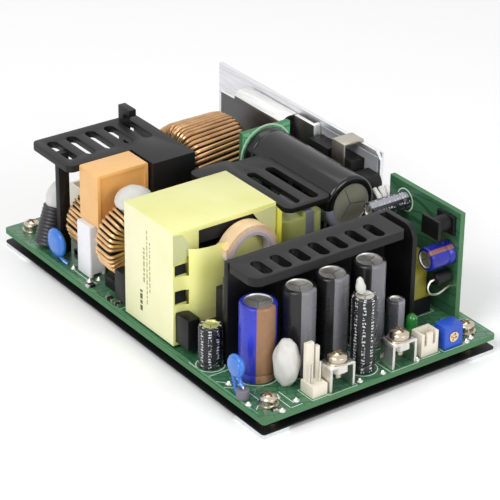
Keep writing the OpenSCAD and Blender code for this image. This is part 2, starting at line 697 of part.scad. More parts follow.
module output_rectifiers() color("#2a2a2c") for (i = [0:2]) {
    x = rect_x.x + i * rect_x.y;
    y = osink_y + osink.x;
    lift = 4;
    on_board([x - rect_size.x / 2, y, lift]) cube(rect_size);
    for (k = [-1:1]) on_board([x + k * 2.54, y + rect_size.y / 2]) cylinder(r = lead_r, h = lift + eps);
}

module output_capacitor_blue() color("#4048c0") on_board(bluecap_at) can(bluecap.x, bluecap.y);
module output_capacitor(i) color("#2b2b2e") on_board(ocap_at[i]) can(ocap.x, ocap.y);
module output_capacitor_1() output_capacitor(0);
module output_capacitor_2() output_capacitor(1);
module output_capacitor_3() output_capacitor(2);
module filter_capacitor() color("#2b2b2e") on_board(fcap_at) can(fcap.x, fcap.y);
module small_capacitor() color("#4a4a50") on_board(scap_at) can(scap.x, scap.y);

// Parts along the front edge stand this far from it
edge_y = front + front_gap;

// Bracket folded from sheet, open at the front and the back
module terminal(x) color("silver") difference() {
    on_board([x - term_size.x / 2, edge_y + term_size.y]) rotate([90, 0, 0]) linear_extrude(term_size.y)
        difference() {
            union() {
                square([term_size.x, term_size.z - term_t]);
                translate([term_t, 0]) square([term_size.x - 2 * term_t, term_size.z]);
                for (u = [term_t, term_size.x - term_t]) translate([u, term_size.z - term_t])
                    circle(term_t);
            }
            translate([term_t, -1]) square([term_size.x - 2 * term_t, term_size.z - term_t + 1]);
        }
    on_board([x, edge_y + term_size.y / 2, 1]) cylinder(r = screw_r + screw_clear, h = term_size.z);
}
module output_terminal_left() terminal(term_x.x);
module output_terminal_right() terminal(term_x.y);

module terminal_screws() color("silver") for (x = term_x)
    on_board([x, edge_y + term_size.y / 2, term_size.z])
        washer_screw(term_head, term_washer, [screw_r, 0], screw_r, term_size.z * 0.6);

sense_back = edge_y + sense_size.y;
module sense_header() color("#ebe6dc") difference() {
    latch = [2.4, 1.2, 14];
    prong = [1.2, 1.2, 12.4];
    union() {
        block(sense_size, [sense_x, edge_y + sense_size.y / 2 + 0.6]);
        on_board([sense_x - 1.9, sense_back - 1]) cube(latch);
        on_board([sense_x + 1.1, sense_back - 1]) cube(prong);
    }
    for (s = [-1, 1]) on_board([sense_x + s * pin_pitch / 2, edge_y + sense_pin_y, -1])
        cylinder(r = pin_r + 0.02, h = sense_size.z + 2);
}

pin_r = 0.35;
pin_pitch = 2.54;
sense_pin_y = 2.6;
fan_y = edge_y + fan_at.y + fan_size.y / 2;
module fan_header() color("#ebe0d6") {
    wall = 0.8;
    floor_t = 1.5;
    notch = [0.9, wall + 1];
    difference() {
        block(fan_size, [fan_at.x, fan_y]);
        block([fan_size.x - 2 * wall, fan_size.y - 2 * wall, fan_size.z], [fan_at.x, fan_y, floor_t]);
        for (s = [-1, 1]) block([notch.x, 2 * notch.y, fan_size.z],
            [fan_at.x + s * fan_size.x / 4, fan_y - fan_size.y / 2, 2 * floor_t]);
        for (s = [-1, 1]) on_board([fan_at.x + s * pin_pitch / 2, fan_y, -1])
            cylinder(r = pin_r + 0.02, h = floor_t + 2);
    }
}

module header_pins() color("silver") for (s = [-1, 1]) {
    on_board([fan_at.x + s * pin_pitch / 2, fan_y]) cylinder(r = pin_r, h = fan_size.z - 0.6);
    on_board([sense_x + s * pin_pitch / 2, edge_y + sense_pin_y])
        cylinder(r = pin_r, h = sense_size.z + 5.7);
}

rotor_seat = 1.4;
trim_y = edge_y + trim_at.y;
module trimmer_body() color("#3c5fcd") difference() {
    on_board([trim_at.x - trim_size.x / 2, trim_y]) cube(trim_size);
    on_board([trim_at.x, trim_y - 1, trim_size.z / 2]) rotate([-90, 0, 0])
        cylinder(r = rotor.x + rotor.y, h = 1 + rotor_seat + rotor.y);
}

module trimmer_rotor() color("gold") difference() {
    on_board([trim_at.x, trim_y - 0.2, trim_size.z / 2]) rotate([-90, 0, 0])
        cylinder(r = rotor.x, h = rotor_seat + 0.2);
    for (a = [20, 110]) on_board([trim_at.x, trim_y - 0.2, trim_size.z / 2]) rotate([0, a, 0])
        cube([rotor.x * 1.5, 1.2, rotor.x * 0.32], center = true);
}

module status_led() color("#46aa4b") on_board(led_at) {
    rise = 1.5;
    translate([0, 0, rise]) cylinder(r = led.x + 0.35, h = 0.8);
    translate([0, 0, rise]) cylinder(r = led.x, h = led.y - led.x - rise);
    translate([0, 0, led.y - led.x]) sphere(led.x);
    for (s = [-1, 1]) translate([s * 0.9, 0, 0]) cylinder(r = 0.3, h = rise + eps);
}

bead_y = disc_at.y - disc_leads.x;
module disc_capacitor() color("#3c8cdc") {
    on_board([disc_at.x - disc.y / 2, disc_at.y, disc_at.z]) disc_body(disc.x, disc.y);
    on_board([disc_at.x, bead_y]) cylinder(r = lead_r, h = disc_at.z);
    on_board([disc_at.x, disc_at.y + disc_leads.y]) cylinder(r = lead_r, h = disc_at.z - disc.x * 0.7);
}

module ferrite_sleeve() color("#5a5a5e") on_board([disc_at.x, bead_y]) rotate_extrude()
    translate([lead_r + 0.05, 0]) square([bead.x - lead_r - 0.05, bead.y]);

module control_board() color("seagreen") on_board([ctrl_x, ctrl_at.y]) cube(ctrl_size);

// Puts its children on the control board's inner face, with their +Z towards -X
module on_control(at) on_board([ctrl_x, at[0], at[1]]) rotate([0, -90, 0]) children();

module control_capacitor() color("#55555c") on_control(ctrl_cap_at) can(ctrl_cap.x, ctrl_cap.y);
module control_capacitor_blue() color("#2a2a80") on_control(ctrl_blue_at) can(ctrl_blue.x, ctrl_blue.y);

module control_coil() color("#29292b") {
    rim = 1;
    drum = ctrl_coil.y / 2;
    on_board([ctrl_x - ctrl_coil.x, ctrl_coil_at[0], ctrl_coil_at[1]]) {
        for (x = [0, ctrl_coil.x - rim]) translate([x, 0, 0]) cube([rim, ctrl_coil.y, ctrl_coil.z]);
        translate([0, drum, ctrl_coil.z / 2]) rotate([0, 90, 0])
            cylinder(r = ctrl_coil.z / 2 - 0.3, h = ctrl_coil.x);
    }
}

module control_diode() {
    lift = 0.5;
    loop = 3.8;
    color("#3b3b3f") on_control(diode_at) translate([0, 0, lift]) cylinder(r = diode.x, h = diode.y);
    color("silver") on_control(diode_at) {
        cylinder(r = lead_r, h = lift + eps);
        translate([0, 0, lift + diode.y - eps]) cylinder(r = lead_r, h = 1);
        for (u = [0, -loop]) translate([u, 0, lift + diode.y + 1]) sphere(lead_r + 0.06);
        translate([0, 0, lift + diode.y + 1]) rotate([0, -90, 0]) cylinder(r = lead_r, h = loop);
        translate([-loop, 0, 0]) cylinder(r = lead_r, h = lift + diode.y + 1);
    }
}

module aux_transformer() {
    foot = 5;
    rim = 0.4;
    color("#29292b") block([aux_size.x, aux_size.y, foot], aux_at);
    color("#a8a03c")
        on_board([aux_at.x - aux_size.x / 2 + rim, aux_at.y - aux_size.y / 2 + rim, foot - eps])
            round_block([aux_size.x - 2 * rim, aux_size.y - 2 * rim, aux_size.z - foot], 2);
}

riser_y = bulk_at.z + 0.1;
module riser_board() color("seagreen") on_board([bulk_at.x - riser_size.x / 2, riser_y]) cube(riser_size);

module bulk_capacitor() color("#2b2b2e") on_board([bulk_at.x, riser_y, bulk_at.y]) rotate([90, 0, 0])
    can(bulk.x, bulk.y);

module choke_cover() color("#3c3c3e") {
    leg = 1.8;
    slot_y = ccov_size.y / 2 - 3;
    on_board([ccov_at.x, ccov_at.y, ccov_at.z - ccov_size.z]) linear_extrude(ccov_size.z) difference() {
        union() {
            round_rect([ccov_size.x, ccov_size.y], 2.4);
            translate([-ccov_strap.x, ccov_size.y + 2.2 - ccov_strap.y])
                round_rect([ccov_strap.x + 5, ccov_strap.y], 2.4);
        }
        for (s = [-1, 1]) translate([(ccov_size.x + s * ccov_slot.z) / 2 + 0.3, slot_y])
            slot(ccov_slot.x, ccov_slot.y);
    }
    for (x = [0.2, ccov_size.x - leg - 1], y = [14.5, ccov_size.y - leg - 3.6])
        on_board([ccov_at.x + x, ccov_at.y + y]) cube([leg, leg, ccov_at.z - ccov_size.z / 2]);
}

module drive_transformer() {
    foot = 4;
    core = [2.8, drive_size.y + 0.6, drive_size.z - foot];
    coil_h = drive_size.z - foot - 1.6;
    color("#29292b") block([drive_size.x - 1, drive_size.y - 1, foot], drive_at);
    color("#e6e86e") on_board([drive_at.x - drive_size.x / 2, drive_at.y - drive_size.y / 2, foot - eps])
        round_block([drive_size.x, drive_size.y, coil_h], 3);
    color("#77787c") on_board([drive_at.x + 0.2, drive_at.y - core.y / 2, foot]) cube(core);
}

// Section of the heatsink: an upright that bends over towards the wall
module sink_section() {
    reach = wall_in - wall_gap - psink_x;
    difference() {
        translate([bend_r, psink.y - bend_r]) circle(bend_r);
        translate([bend_r, psink.y - bend_r]) circle(bend_r - psink.x);
        translate([bend_r, 0]) square([reach, psink.y]);
        square([reach, psink.y - bend_r]);
    }
    translate([bend_r - eps, psink.y - psink.x]) square([reach - bend_r, psink.x]);
}

module primary_heatsink() color("#8a8b8e") {
    on_board([psink_x, psink_y.x]) cube([psink.x, psink_y.y - psink_y.x, psink.y - bend_r]);
    on_board([psink_x, flange_y.y]) rotate([90, 0, 0])
        linear_extrude(flange_y.y - flange_y.x) sink_section();
}

module folded_plate() color("#77787a") on_board([fold_x, fold_at.y]) {
    cube([fold.x, fold.y, fold.z]);
    cube([wall_in - wall_gap - fold_x, fold.x, fold.z]);
}

fet_back = wall_in - wall_film_t;
module power_transistors() color("#2a2a2c") for (y = fet_y) {
    on_board([fet_back - fet.x, y - fet.y / 2, fet_z]) cube(fet);
    for (k = [-1:1]) on_board([fet_back - fet.x / 2, y + k * 2.54]) cylinder(r = lead_r, h = fet_z + eps);
}

module bridge_rectifier() color("#2a2a2c") {
    x = psink_x + psink.x;
    y = flange_y.x + 2;
    on_board([x, y, bridge_leads.x]) cube(bridge);
    for (k = [-1.5:1.5]) on_board([x + bridge.x / 2, y + bridge.y / 2 + k * bridge_leads.y])
        cylinder(r = lead_r, h = bridge_leads.x + eps);
}

module spring_clip() color("#c9bfae") {
    face = fet_back - fet.x;
    tip_z = fet_z + 6;
    on_board([face - clip.y, clip_y - clip.x / 2, wall_h]) cube([right - face + clip.y, clip.x, clip.y]);
    on_board([face - clip.y, clip_y - clip.x / 2, tip_z]) cube([clip.y, clip.x, wall_h - tip_z + eps]);
}

icap_y = wall_front - 1.8;
module insulating_cap() color("#242426") {
    d = fet.x;
    on_board([fet_back - d, icap_y, 0]) rotate([90, 0, 90]) linear_extrude(d) {
        square([icap.x, icap.y - 3]);
        translate([icap.x / 2, icap.y - 3 - eps]) intersection() {
            circle(icap.x / 2);
            translate([-icap.x / 2, 0]) square([icap.x, 3]);
        }
    }
}

module wall_film() color("#d8dade") on_board([wall_in - wall_film_t, wall_front + 1, 5])
    cube([wall_film_t, fet_y.y + fet.y / 2 - wall_front - 1, wall_h - 6.5]);

// Moulded connector whose pins are open at the top and the rear
module input_connector() {
    wall = 1;
    pin_pitch_in = 7.92;
    mid_y = back - 1 - conn_size.y / 2;
    color("#ebe6dc") difference() {
        block(conn_size, [conn_x, mid_y]);
        block([conn_size.x - 2 * wall, conn_size.y - 2 * wall, conn_size.z], [conn_x, mid_y, 2 * wall]);
    }
    color("silver") for (s = [-1, 1]) on_board([conn_x + s * pin_pitch_in / 2, mid_y, wall])
        cylinder(r = 0.6, h = conn_size.z - 2 * wall);
}

// Insulated leads from the board up to the insulating cap's side
module white_leads() {
    first = 0.9;
    pitch = 1.7;
    color("white") for (i = [0:2]) on_board([fet_back - first - i * pitch, icap_y - wire_r - 0.1, 0])
        cylinder(r = wire_r, h = icap.y - 1.5);
}

chassis();
insulating_sheet();
main_board();
board_spacers();
board_screws();
transformer_core();
transformer_wrap();
transformer_coil();
transformer_bobbin();
transformer_lead_out();
x_capacitor();
capacitor_stand();
input_cover();
boost_choke();
line_choke_front();
line_choke_rear();
choke_bases();
y_capacitor();
inrush_limiter();
sealant_drops();
bias_capacitor();
output_cover();
output_heatsink();
output_rectifiers();
output_capacitor_blue();
output_capacitor_1();
output_capacitor_2();
output_capacitor_3();
filter_capacitor();
small_capacitor();
output_terminal_left();
output_terminal_right();
terminal_screws();
sense_header();
fan_header();
header_pins();
trimmer_body();
trimmer_rotor();
status_led();
disc_capacitor();
ferrite_sleeve();
control_board();
control_capacitor();
control_capacitor_blue();
control_coil();
control_diode();
aux_transformer();
riser_board();
bulk_capacitor();
choke_cover();
drive_transformer();
primary_heatsink();
folded_plate();
power_transistors();
bridge_rectifier();
spring_clip();
insulating_cap();
wall_film();
input_connector();
white_leads();
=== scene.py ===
# %% [markdown]
# # An open frame power supply, dressed piece by piece
#
# A power supply of this kind is a green board packed with parts: wound chokes, taped transformers, sleeved
# cans and black covers, on a sheet of aluminium. The solids come from a CAD frame at their real size. Here
# each one gets the detail and the finish that its maker gives it. The script is read from top to bottom,
# and each cell makes one kind of piece.

# %% Load the frame
import json
import math
import random
import bpy
import bmesh
from mathutils import Matrix, Vector, noise

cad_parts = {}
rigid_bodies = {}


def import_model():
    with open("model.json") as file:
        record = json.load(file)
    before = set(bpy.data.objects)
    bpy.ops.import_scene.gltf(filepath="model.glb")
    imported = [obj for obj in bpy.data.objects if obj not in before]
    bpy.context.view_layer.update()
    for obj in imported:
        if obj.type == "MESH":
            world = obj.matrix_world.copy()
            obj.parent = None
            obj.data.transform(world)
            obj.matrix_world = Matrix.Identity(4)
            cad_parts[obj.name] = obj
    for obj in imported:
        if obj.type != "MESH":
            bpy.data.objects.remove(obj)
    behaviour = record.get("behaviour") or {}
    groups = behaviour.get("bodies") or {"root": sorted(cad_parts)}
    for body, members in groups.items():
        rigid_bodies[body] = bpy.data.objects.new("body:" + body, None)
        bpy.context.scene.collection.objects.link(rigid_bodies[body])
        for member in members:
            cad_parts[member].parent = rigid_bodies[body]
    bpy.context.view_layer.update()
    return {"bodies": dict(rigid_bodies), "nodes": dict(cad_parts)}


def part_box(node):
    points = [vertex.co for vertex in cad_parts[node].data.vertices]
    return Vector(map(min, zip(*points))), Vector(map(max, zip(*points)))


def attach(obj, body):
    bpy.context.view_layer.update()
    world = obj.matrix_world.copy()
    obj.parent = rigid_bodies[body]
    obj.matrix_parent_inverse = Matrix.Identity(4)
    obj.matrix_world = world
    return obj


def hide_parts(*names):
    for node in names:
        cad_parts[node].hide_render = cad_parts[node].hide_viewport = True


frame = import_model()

MM = 0.001
nodes = frame["nodes"]
main_body = next(name for name in frame["bodies"] if name != "rotor")

# %% [markdown]
# ## A camera with a long lens
# A product picture is taken from a few steps away with a long lens, so that upright edges stay nearly
# parallel. The camera is set at a given point, aimed along a given azimuth and elevation, and then turned by
# a fraction of a degree, because a hand-levelled camera is never quite level.

# %% Camera
LENS = 159.66
CAMERA_AT = Vector((-0.31506, -0.43775, 0.29831))
AZIMUTH, ELEVATION, ROLL = (math.radians(a) for a in (-36.026, 27.744, 0.744))
back = Vector((math.sin(AZIMUTH) * math.cos(ELEVATION), -math.cos(AZIMUTH) * math.cos(ELEVATION),
               math.sin(ELEVATION)))
level_right = (-back).cross(Vector((0, 0, 1))).normalized()
level_up = level_right.cross(-back)
cam_right = level_right * math.cos(ROLL) + level_up * math.sin(ROLL)
cam_up = level_up * math.cos(ROLL) - level_right * math.sin(ROLL)
camera = bpy.data.objects.new("camera", bpy.data.cameras.new("camera"))
bpy.context.scene.collection.objects.link(camera)
camera.data.lens = LENS
camera.data.sensor_width = 36
camera.data.clip_start = 0.05
camera.matrix_world = Matrix.Translation(CAMERA_AT) @ Matrix((cam_right, cam_up, back)).transposed().to_4x4()
bpy.context.scene.camera = camera

# %% [markdown]
# ## Light and floor
# Soft light makes small shiny parts readable. One large lamp from the left and above is the key, a weaker one
# from the front right opens the shadows, and the world gives an even glow. Camera and glossy rays see white,
# so the background is white without more light on the object.

# %% Light, world and floor
def lamp(name, power, size, at, aim=(0, 0, 0.015)):
    light = bpy.data.lights.new(name, "AREA")
    light.energy = power
    light.size = size
    obj = bpy.data.objects.new(name, light)
    obj.location = at
    obj.rotation_euler = (Vector(aim) - Vector(at)).to_track_quat("-Z", "Y").to_euler()
    bpy.context.scene.collection.objects.link(obj)


lamp("key_light", 3.6, 0.4, (-0.6, -0.2, 0.62))
lamp("top_light", 1.3, 0.5, (0.1, 0.25, 0.8))
lamp("fill_light", 2.4, 0.4, (0.1, -0.8, 0.4))


def white_for_camera(tree, shader, output_name):
    """Makes camera, glossy and transmission rays see pure white in place of a shader."""
    path = tree.nodes.new("ShaderNodeLightPath")
    white = tree.nodes.new("ShaderNodeEmission" if output_name == "Surface" else "ShaderNodeBackground")
    white.inputs["Strength"].default_value = 1
    white.inputs["Color"].default_value = (1, 1, 1, 1)
    either = path.outputs["Is Camera Ray"]
    for kind in ("Is Glossy Ray", "Is Transmission Ray"):
        both = tree.nodes.new("ShaderNodeMath")
        both.operation = "MAXIMUM"
        tree.links.new(either, both.inputs[0])
        tree.links.new(path.outputs[kind], both.inputs[1])
        either = both.outputs[0]
    mix = tree.nodes.new("ShaderNodeMixShader")
    tree.links.new(either, mix.inputs[0])
    tree.links.new(shader, mix.inputs[1])
    tree.links.new(white.outputs[0], mix.inputs[2])
    return mix.outputs[0]


world = bpy.data.worlds.new("studio")
bpy.context.scene.world = world
world.use_nodes = True
glow = world.node_tree.nodes["Background"]
glow.inputs["Color"].default_value = (1, 1, 1, 1)
glow.inputs["Strength"].default_value = 0.5
sky = white_for_camera(world.node_tree, glow.outputs[0], "World")
world.node_tree.links.new(sky, world.node_tree.nodes["World Output"].inputs["Surface"])

bm = bmesh.new()
bmesh.ops.create_grid(bm, x_segments=1, y_segments=1, size=3)
floor_mesh = bpy.data.meshes.new("floor")
bm.to_mesh(floor_mesh)
bm.free()
floor = bpy.data.objects.new("floor", floor_mesh)
bpy.context.scene.collection.objects.link(floor)
floor_paint = bpy.data.materials.new("pale_floor")
floor_paint.use_nodes = True
floor_shader = floor_paint.node_tree.nodes["Principled BSDF"]
floor_shader.inputs["Base Color"].default_value = (1, 1, 1, 1)
floor_shader.inputs["Roughness"].default_value = 0.9
floor_mesh.materials.append(floor_paint)
bpy.context.scene.view_settings.view_transform = "Standard"

# %% [markdown]
# ## A small kit of material nodes
# A finish is more than a colour: dust, mould texture and handling change the colour, the gloss and the
# surface from place to place. The `Finish` class wires those into a Principled shader. All patterns read
# Object coordinates, so they have a real scale in metres and stay on the piece.

# %% Material kit
class Finish:
    """A node material whose patterns are placed in metres by Object coordinates."""

    def __init__(self, name, roughness=0.5, metallic=0.0):
        self.material = bpy.data.materials.new(name)
        self.material.use_nodes = True
        self.tree = self.material.node_tree
        self.shader = self.tree.nodes["Principled BSDF"]
        self.shader.inputs["Roughness"].default_value = roughness
        self.shader.inputs["Metallic"].default_value = metallic
        self.place = self.add("ShaderNodeTexCoord").outputs["Object"]

    def add(self, kind, **settings):
        made = self.tree.nodes.new(kind)
        for key, value in settings.items():
            setattr(made, key, value)
        return made

    def set(self, socket, value):
        self.shader.inputs[socket].default_value = value
        return self

    def link(self, a, b):
        self.tree.links.new(a, b)

    def mapped(self, origin=(0, 0, 0), turn=(0, 0, 0), scale=(1, 1, 1)):
        """Object coordinates measured from an origin, turned and then scaled."""
        shift = self.add("ShaderNodeVectorMath", operation="SUBTRACT")
        shift.inputs[1].default_value = origin
        self.link(self.place, shift.inputs[0])
        node = self.add("ShaderNodeMapping")
        node.inputs["Rotation"].default_value = turn
        node.inputs["Scale"].default_value = scale
        self.link(shift.outputs[0], node.inputs["Vector"])
        return node.outputs[0]

    def noise(self, scale, detail=3.0, vector=None, stretch=None):
        node = self.add("ShaderNodeTexNoise")
        node.inputs["Scale"].default_value = scale
        node.inputs["Detail"].default_value = detail
        source = vector or (self.mapped(scale=stretch) if stretch else self.place)
        self.link(source, node.inputs["Vector"])
        return node.outputs["Fac"]

    def ramp(self, value, stops, interpolation="LINEAR"):
        """A colour ramp: stops are (place, colour) and colours are linear RGB."""
        node = self.add("ShaderNodeValToRGB")
        node.color_ramp.interpolation = interpolation
        elements = node.color_ramp.elements
        while len(elements) < len(stops):
            elements.new(0.5)
        for element, (where, colour) in zip(elements, stops):
            element.position = where
            element.color = (*colour, 1) if len(colour) == 3 else colour
        self.link(value, node.inputs["Fac"])
        return node.outputs["Color"]

    def mix(self, factor, a, b):
        """Colour a where factor is 0 and b where it is 1. Each may be a colour or a socket."""
        node = self.add("ShaderNodeMix", data_type="RGBA")
        for socket, value in zip((node.inputs[0], node.inputs[6], node.inputs[7]), (factor, a, b)):
            if isinstance(value, bpy.types.NodeSocket):
                self.link(value, socket)
            elif isinstance(value, (tuple, list)):
                socket.default_value = (*value, 1)[:4]
            else:
                socket.default_value = value
        return node.outputs[2]

    def math(self, operation, a, b=0.0):
        node = self.add("ShaderNodeMath", operation=operation)
        for socket, value in zip(node.inputs, (a, b)):
            if isinstance(value, bpy.types.NodeSocket):
                self.link(value, socket)
            else:
                socket.default_value = value
        return node.outputs[0]

    def colour(self, socket):
        self.link(socket, self.shader.inputs["Base Color"])
        return self

    def rough(self, value, low, high):
        """Roughness that follows a pattern between two values."""
        node = self.add("ShaderNodeMapRange")
        node.inputs["To Min"].default_value = low
        node.inputs["To Max"].default_value = high
        self.link(value, node.inputs["Value"])
        self.link(node.outputs[0], self.shader.inputs["Roughness"])
        return self

    def bump(self, height, depth_mm, strength=1.0):
        node = self.add("ShaderNodeBump")
        node.inputs["Strength"].default_value = strength
        node.inputs["Distance"].default_value = depth_mm * MM
        self.link(height, node.inputs["Height"])
        self.link(node.outputs[0], self.shader.inputs["Normal"])
        return self


def srgb(r, g, b):
    """Linear colour from the 0 to 255 numbers that a paint card gives."""
    return tuple((c / 255 / 12.92) if c <= 10 else ((c / 255 + 0.055) / 1.055) ** 2.4 for c in (r, g, b))


def shade(colour, factor):
    return tuple(min(1, c * factor) for c in colour)


# %% [markdown]
# ## Moulded plastic, lacquer and rubber
# Most parts here are moulded or dipped. They share one recipe: a colour that drifts a little, a roughness
# that drifts with it, and a fine grain. Only the numbers change, so one function makes them all.

# %% Plastics
def plastic(name, colour, roughness=0.5, grain=4000, depth=0.01, drift=0.12, coat=0.0, shine=0.5):
    f = Finish(name, roughness)
    cloud = f.noise(140, 4)
    f.colour(f.ramp(cloud, [(0.3, shade(colour, 1 - drift)), (0.7, shade(colour, 1 + drift))]))
    f.rough(cloud, roughness - 0.06, roughness + 0.08)
    f.bump(f.noise(grain, 2), depth)
    f.set("Specular IOR Level", shine)
    f.set("Coat Weight", coat)
    f.set("Coat Roughness", 0.12)
    return f.material


COVER_BLACK = plastic("cover_black", srgb(20, 19, 20), 0.42, grain=2600, depth=0.02, shine=0.3)
BLACK_MOULD = plastic("black_mould", srgb(18, 18, 19), 0.4, shine=0.25)
PACKAGE_BLACK = plastic("package_black", srgb(22, 22, 23), 0.48, grain=5000, depth=0.015, shine=0.25)
# The limiter's black sleeve is lifted to a dark grey, which partly stands for painted sheen from its
# highlights.
SLEEVE_BLACK_SHEEN = plastic("sleeve_black", srgb(48, 48, 50), 0.34, grain=900, depth=0.05, shine=0.5)
FILM_BLACK = plastic("film_black", srgb(20, 20, 21), 0.45, grain=1500, shine=0.25)
ORANGE_CASE = plastic("orange_case", srgb(236, 186, 122), 0.42, grain=3000, drift=0.05)
# The front's deeper orange is partly the resin and partly painted shade.
ORANGE_RESIN_AND_SHADE = plastic("orange_resin_and_shade", srgb(242, 180, 104), 0.46, grain=900, depth=0.03, drift=0.06)
WHITE_MOULD = plastic("white_mould", srgb(236, 236, 240), 0.45, drift=0.03)
CREAM_MOULD = plastic("cream_mould", srgb(232, 224, 208), 0.42, drift=0.04)
BLUE_DIP = plastic("blue_dip", srgb(36, 112, 205), 0.25, grain=500, depth=0.03, coat=0.6)
TRIMMER_BLUE = plastic("trimmer_blue", srgb(40, 84, 196), 0.38)
SEALANT = plastic("sealant", srgb(212, 211, 206), 0.5, grain=350, depth=0.12, drift=0.03)
WIRE_WHITE = plastic("wire_white", srgb(232, 230, 226), 0.4, drift=0.04)
FERRITE = plastic("ferrite", srgb(28, 28, 30), 0.55, grain=3000, depth=0.03, shine=0.3)
FERRITE_GREY = plastic("ferrite_grey", srgb(112, 112, 122), 0.5, grain=3000, depth=0.03)
SILK_WHITE = plastic("silk_white", srgb(214, 236, 216), 0.55, drift=0.05)

# %% [markdown]
# ## Metals
# Plated and rolled metals mirror the room, so their look lives in the roughness. Rolled sheet has a faint
# grain along one direction: the noise is stretched by a Mapping node. Turned and plated parts are smoother,
# with small smudges.

# %% Metals
def metal(name, colour, roughness=0.25, grain=(1, 1, 1), drift=0.1, scale=300, depth=0.004):
    f = Finish(name, roughness, metallic=1.0)
    cloud = f.noise(scale, 4, stretch=grain)
    f.colour(f.ramp(cloud, [(0.3, shade(colour, 1 - drift)), (0.7, shade(colour, 1 + drift))]))
    f.rough(cloud, roughness - 0.06, roughness + 0.1)
    f.bump(cloud, depth)
    return f.material


SHEET_ALUMINIUM = metal("sheet_aluminium", srgb(226, 226, 230), 0.38, grain=(1, 0.06, 1), scale=1800)
# Two copies of one aluminium: a dark one as painted shade for upright faces, a bright one as painted light for
# tops.
SINK_PAINTED_SHADE = metal("sink_painted_shade", srgb(94, 93, 95), 0.42, grain=(1, 0.3, 1), scale=700)
SINK_PAINTED_LIGHT = metal("sink_painted_light", srgb(236, 236, 233), 0.42, grain=(1, 0.06, 1), scale=1800)
PLATED = metal("plated", srgb(196, 184, 166), 0.2, drift=0.08)
TINNED = metal("tinned", srgb(222, 220, 214), 0.3, drift=0.08)
SPRING_STEEL = metal("spring_steel", srgb(182, 175, 162), 0.32, grain=(0.1, 1, 1), scale=1500)
CAN_ALUMINIUM = metal("can_aluminium", srgb(224, 222, 216), 0.42, scale=900)
BRASS_ROTOR = metal("brass_rotor", srgb(226, 206, 170), 0.22)

# %% [markdown]
# ## Enamelled copper, tape, boards and sleeves
# These four finishes carry a pattern that the eye expects. Wound copper is lacquered, so it is a metal under
# a clear coat. Tape is a thin film over wire and paper: warm where it is thick, paler where it lifts. A board
# has copper tracks that show through the green mask. A can's sleeve has one long stripe, which marks its
# negative lead, and a Gradient texture set to radial turns a point's direction round the can into that
# stripe.

# %% Copper wire
def copper_wire(name, low, high):
    f = Finish(name, 0.3, metallic=0.75)
    cloud = f.noise(260, 3)
    f.colour(f.ramp(cloud, [(0.25, low), (0.75, high)]))
    f.rough(cloud, 0.22, 0.36)
    f.set("Coat Weight", 0.5)
    f.set("Coat Roughness", 0.08)
    return f.material


COPPER = copper_wire("copper_wire", srgb(168, 124, 82), srgb(206, 164, 114))
COPPER_LIGHT = copper_wire("copper_wire_light", srgb(214, 168, 116), srgb(246, 208, 152))


# %% Tape
def tape(name, colour, edge, scale=90):
    f = Finish(name, 0.38)
    cloud = f.noise(scale, 5)
    creases = f.noise(420, 2, stretch=(1, 1, 0.25))
    f.colour(f.ramp(cloud, [(0.3, colour), (0.75, edge)]))
    f.rough(cloud, 0.3, 0.46)
    f.bump(f.math("ADD", cloud, f.math("MULTIPLY", creases, 0.3)), 0.1)
    f.set("Coat Weight", 0.25)
    f.set("Coat Roughness", 0.2)
    return f.material


# Pale tape: painted light for the lit left side of the transformer wrap.
TAPE_PAINTED_LIT = tape("tape_painted_lit", srgb(234, 234, 184), srgb(242, 240, 202))
TAPE_YELLOW = tape("tape_yellow", srgb(238, 238, 138), srgb(244, 243, 164))
TAPE_OLIVE = tape("tape_olive", srgb(158, 150, 34), srgb(178, 170, 60))


# %% Circuit board
def board(name, across=0, up=1, lift=1.0):
    """Green mask over tracks. across and up say which two axes the face spans; lift scales the green, painted
    light above 1 and painted shade below 1.
    """
    f = Finish(name, 0.3)
    tracks = f.add("ShaderNodeTexBrick")
    tracks.inputs["Scale"].default_value = 130
    tracks.inputs["Mortar Size"].default_value = 0.03
    tracks.inputs["Mortar Smooth"].default_value = 0.3
    tracks.inputs["Color1"].default_value = (1, 1, 1, 1)
    tracks.inputs["Color2"].default_value = (0.55, 0.55, 0.55, 1)
    tracks.inputs["Mortar"].default_value = (0, 0, 0, 1)
    turns = {(0, 1): (0, 0, 0.3), (0, 2): (math.pi / 2, 0, 0), (1, 2): (math.pi / 2, 0, math.pi / 2)}
    spot = f.mapped(turn=turns[across, up], scale=(1, 0.8, 1))
    bend = f.add("ShaderNodeVectorMath", operation="ADD")
    f.link(spot, bend.inputs[0])
    wobble = f.add("ShaderNodeVectorMath", operation="SCALE")
    wobble.inputs["Scale"].default_value = 0.006
    noise_node = f.add("ShaderNodeTexNoise")
    noise_node.inputs["Scale"].default_value = 70
    f.link(spot, noise_node.inputs["Vector"])
    f.link(noise_node.outputs["Color"], wobble.inputs[0])
    f.link(wobble.outputs[0], bend.inputs[1])
    f.link(bend.outputs[0], tracks.inputs["Vector"])
    greens = [(0.0, srgb(34, 84, 54)), (0.4, srgb(48, 104, 70)), (1.0, srgb(68, 124, 88))]
    green = f.ramp(tracks.outputs["Color"], [(place, shade(colour, lift)) for place, colour in greens])
    f.colour(f.mix(f.math("MULTIPLY", f.noise(60, 3), 0.3), green, shade(srgb(98, 142, 112), lift)))
    f.rough(f.noise(200), 0.24, 0.4)
    f.bump(tracks.outputs["Color"], 0.02)
    f.set("Coat Weight", 0.3)
    f.set("Coat Roughness", 0.15)
    return f.material


MAIN_BOARD = board("main_board_mask")
# The upright board's green is painted darker as painted shade; the riser's is painted three times brighter as
# painted light.
UPRIGHT_BOARD_SHADED = board("upright_board_painted_shade", 1, 2, 0.8)
RISER_BOARD_LIT = board("riser_board_painted_light", 0, 2, 3.0)


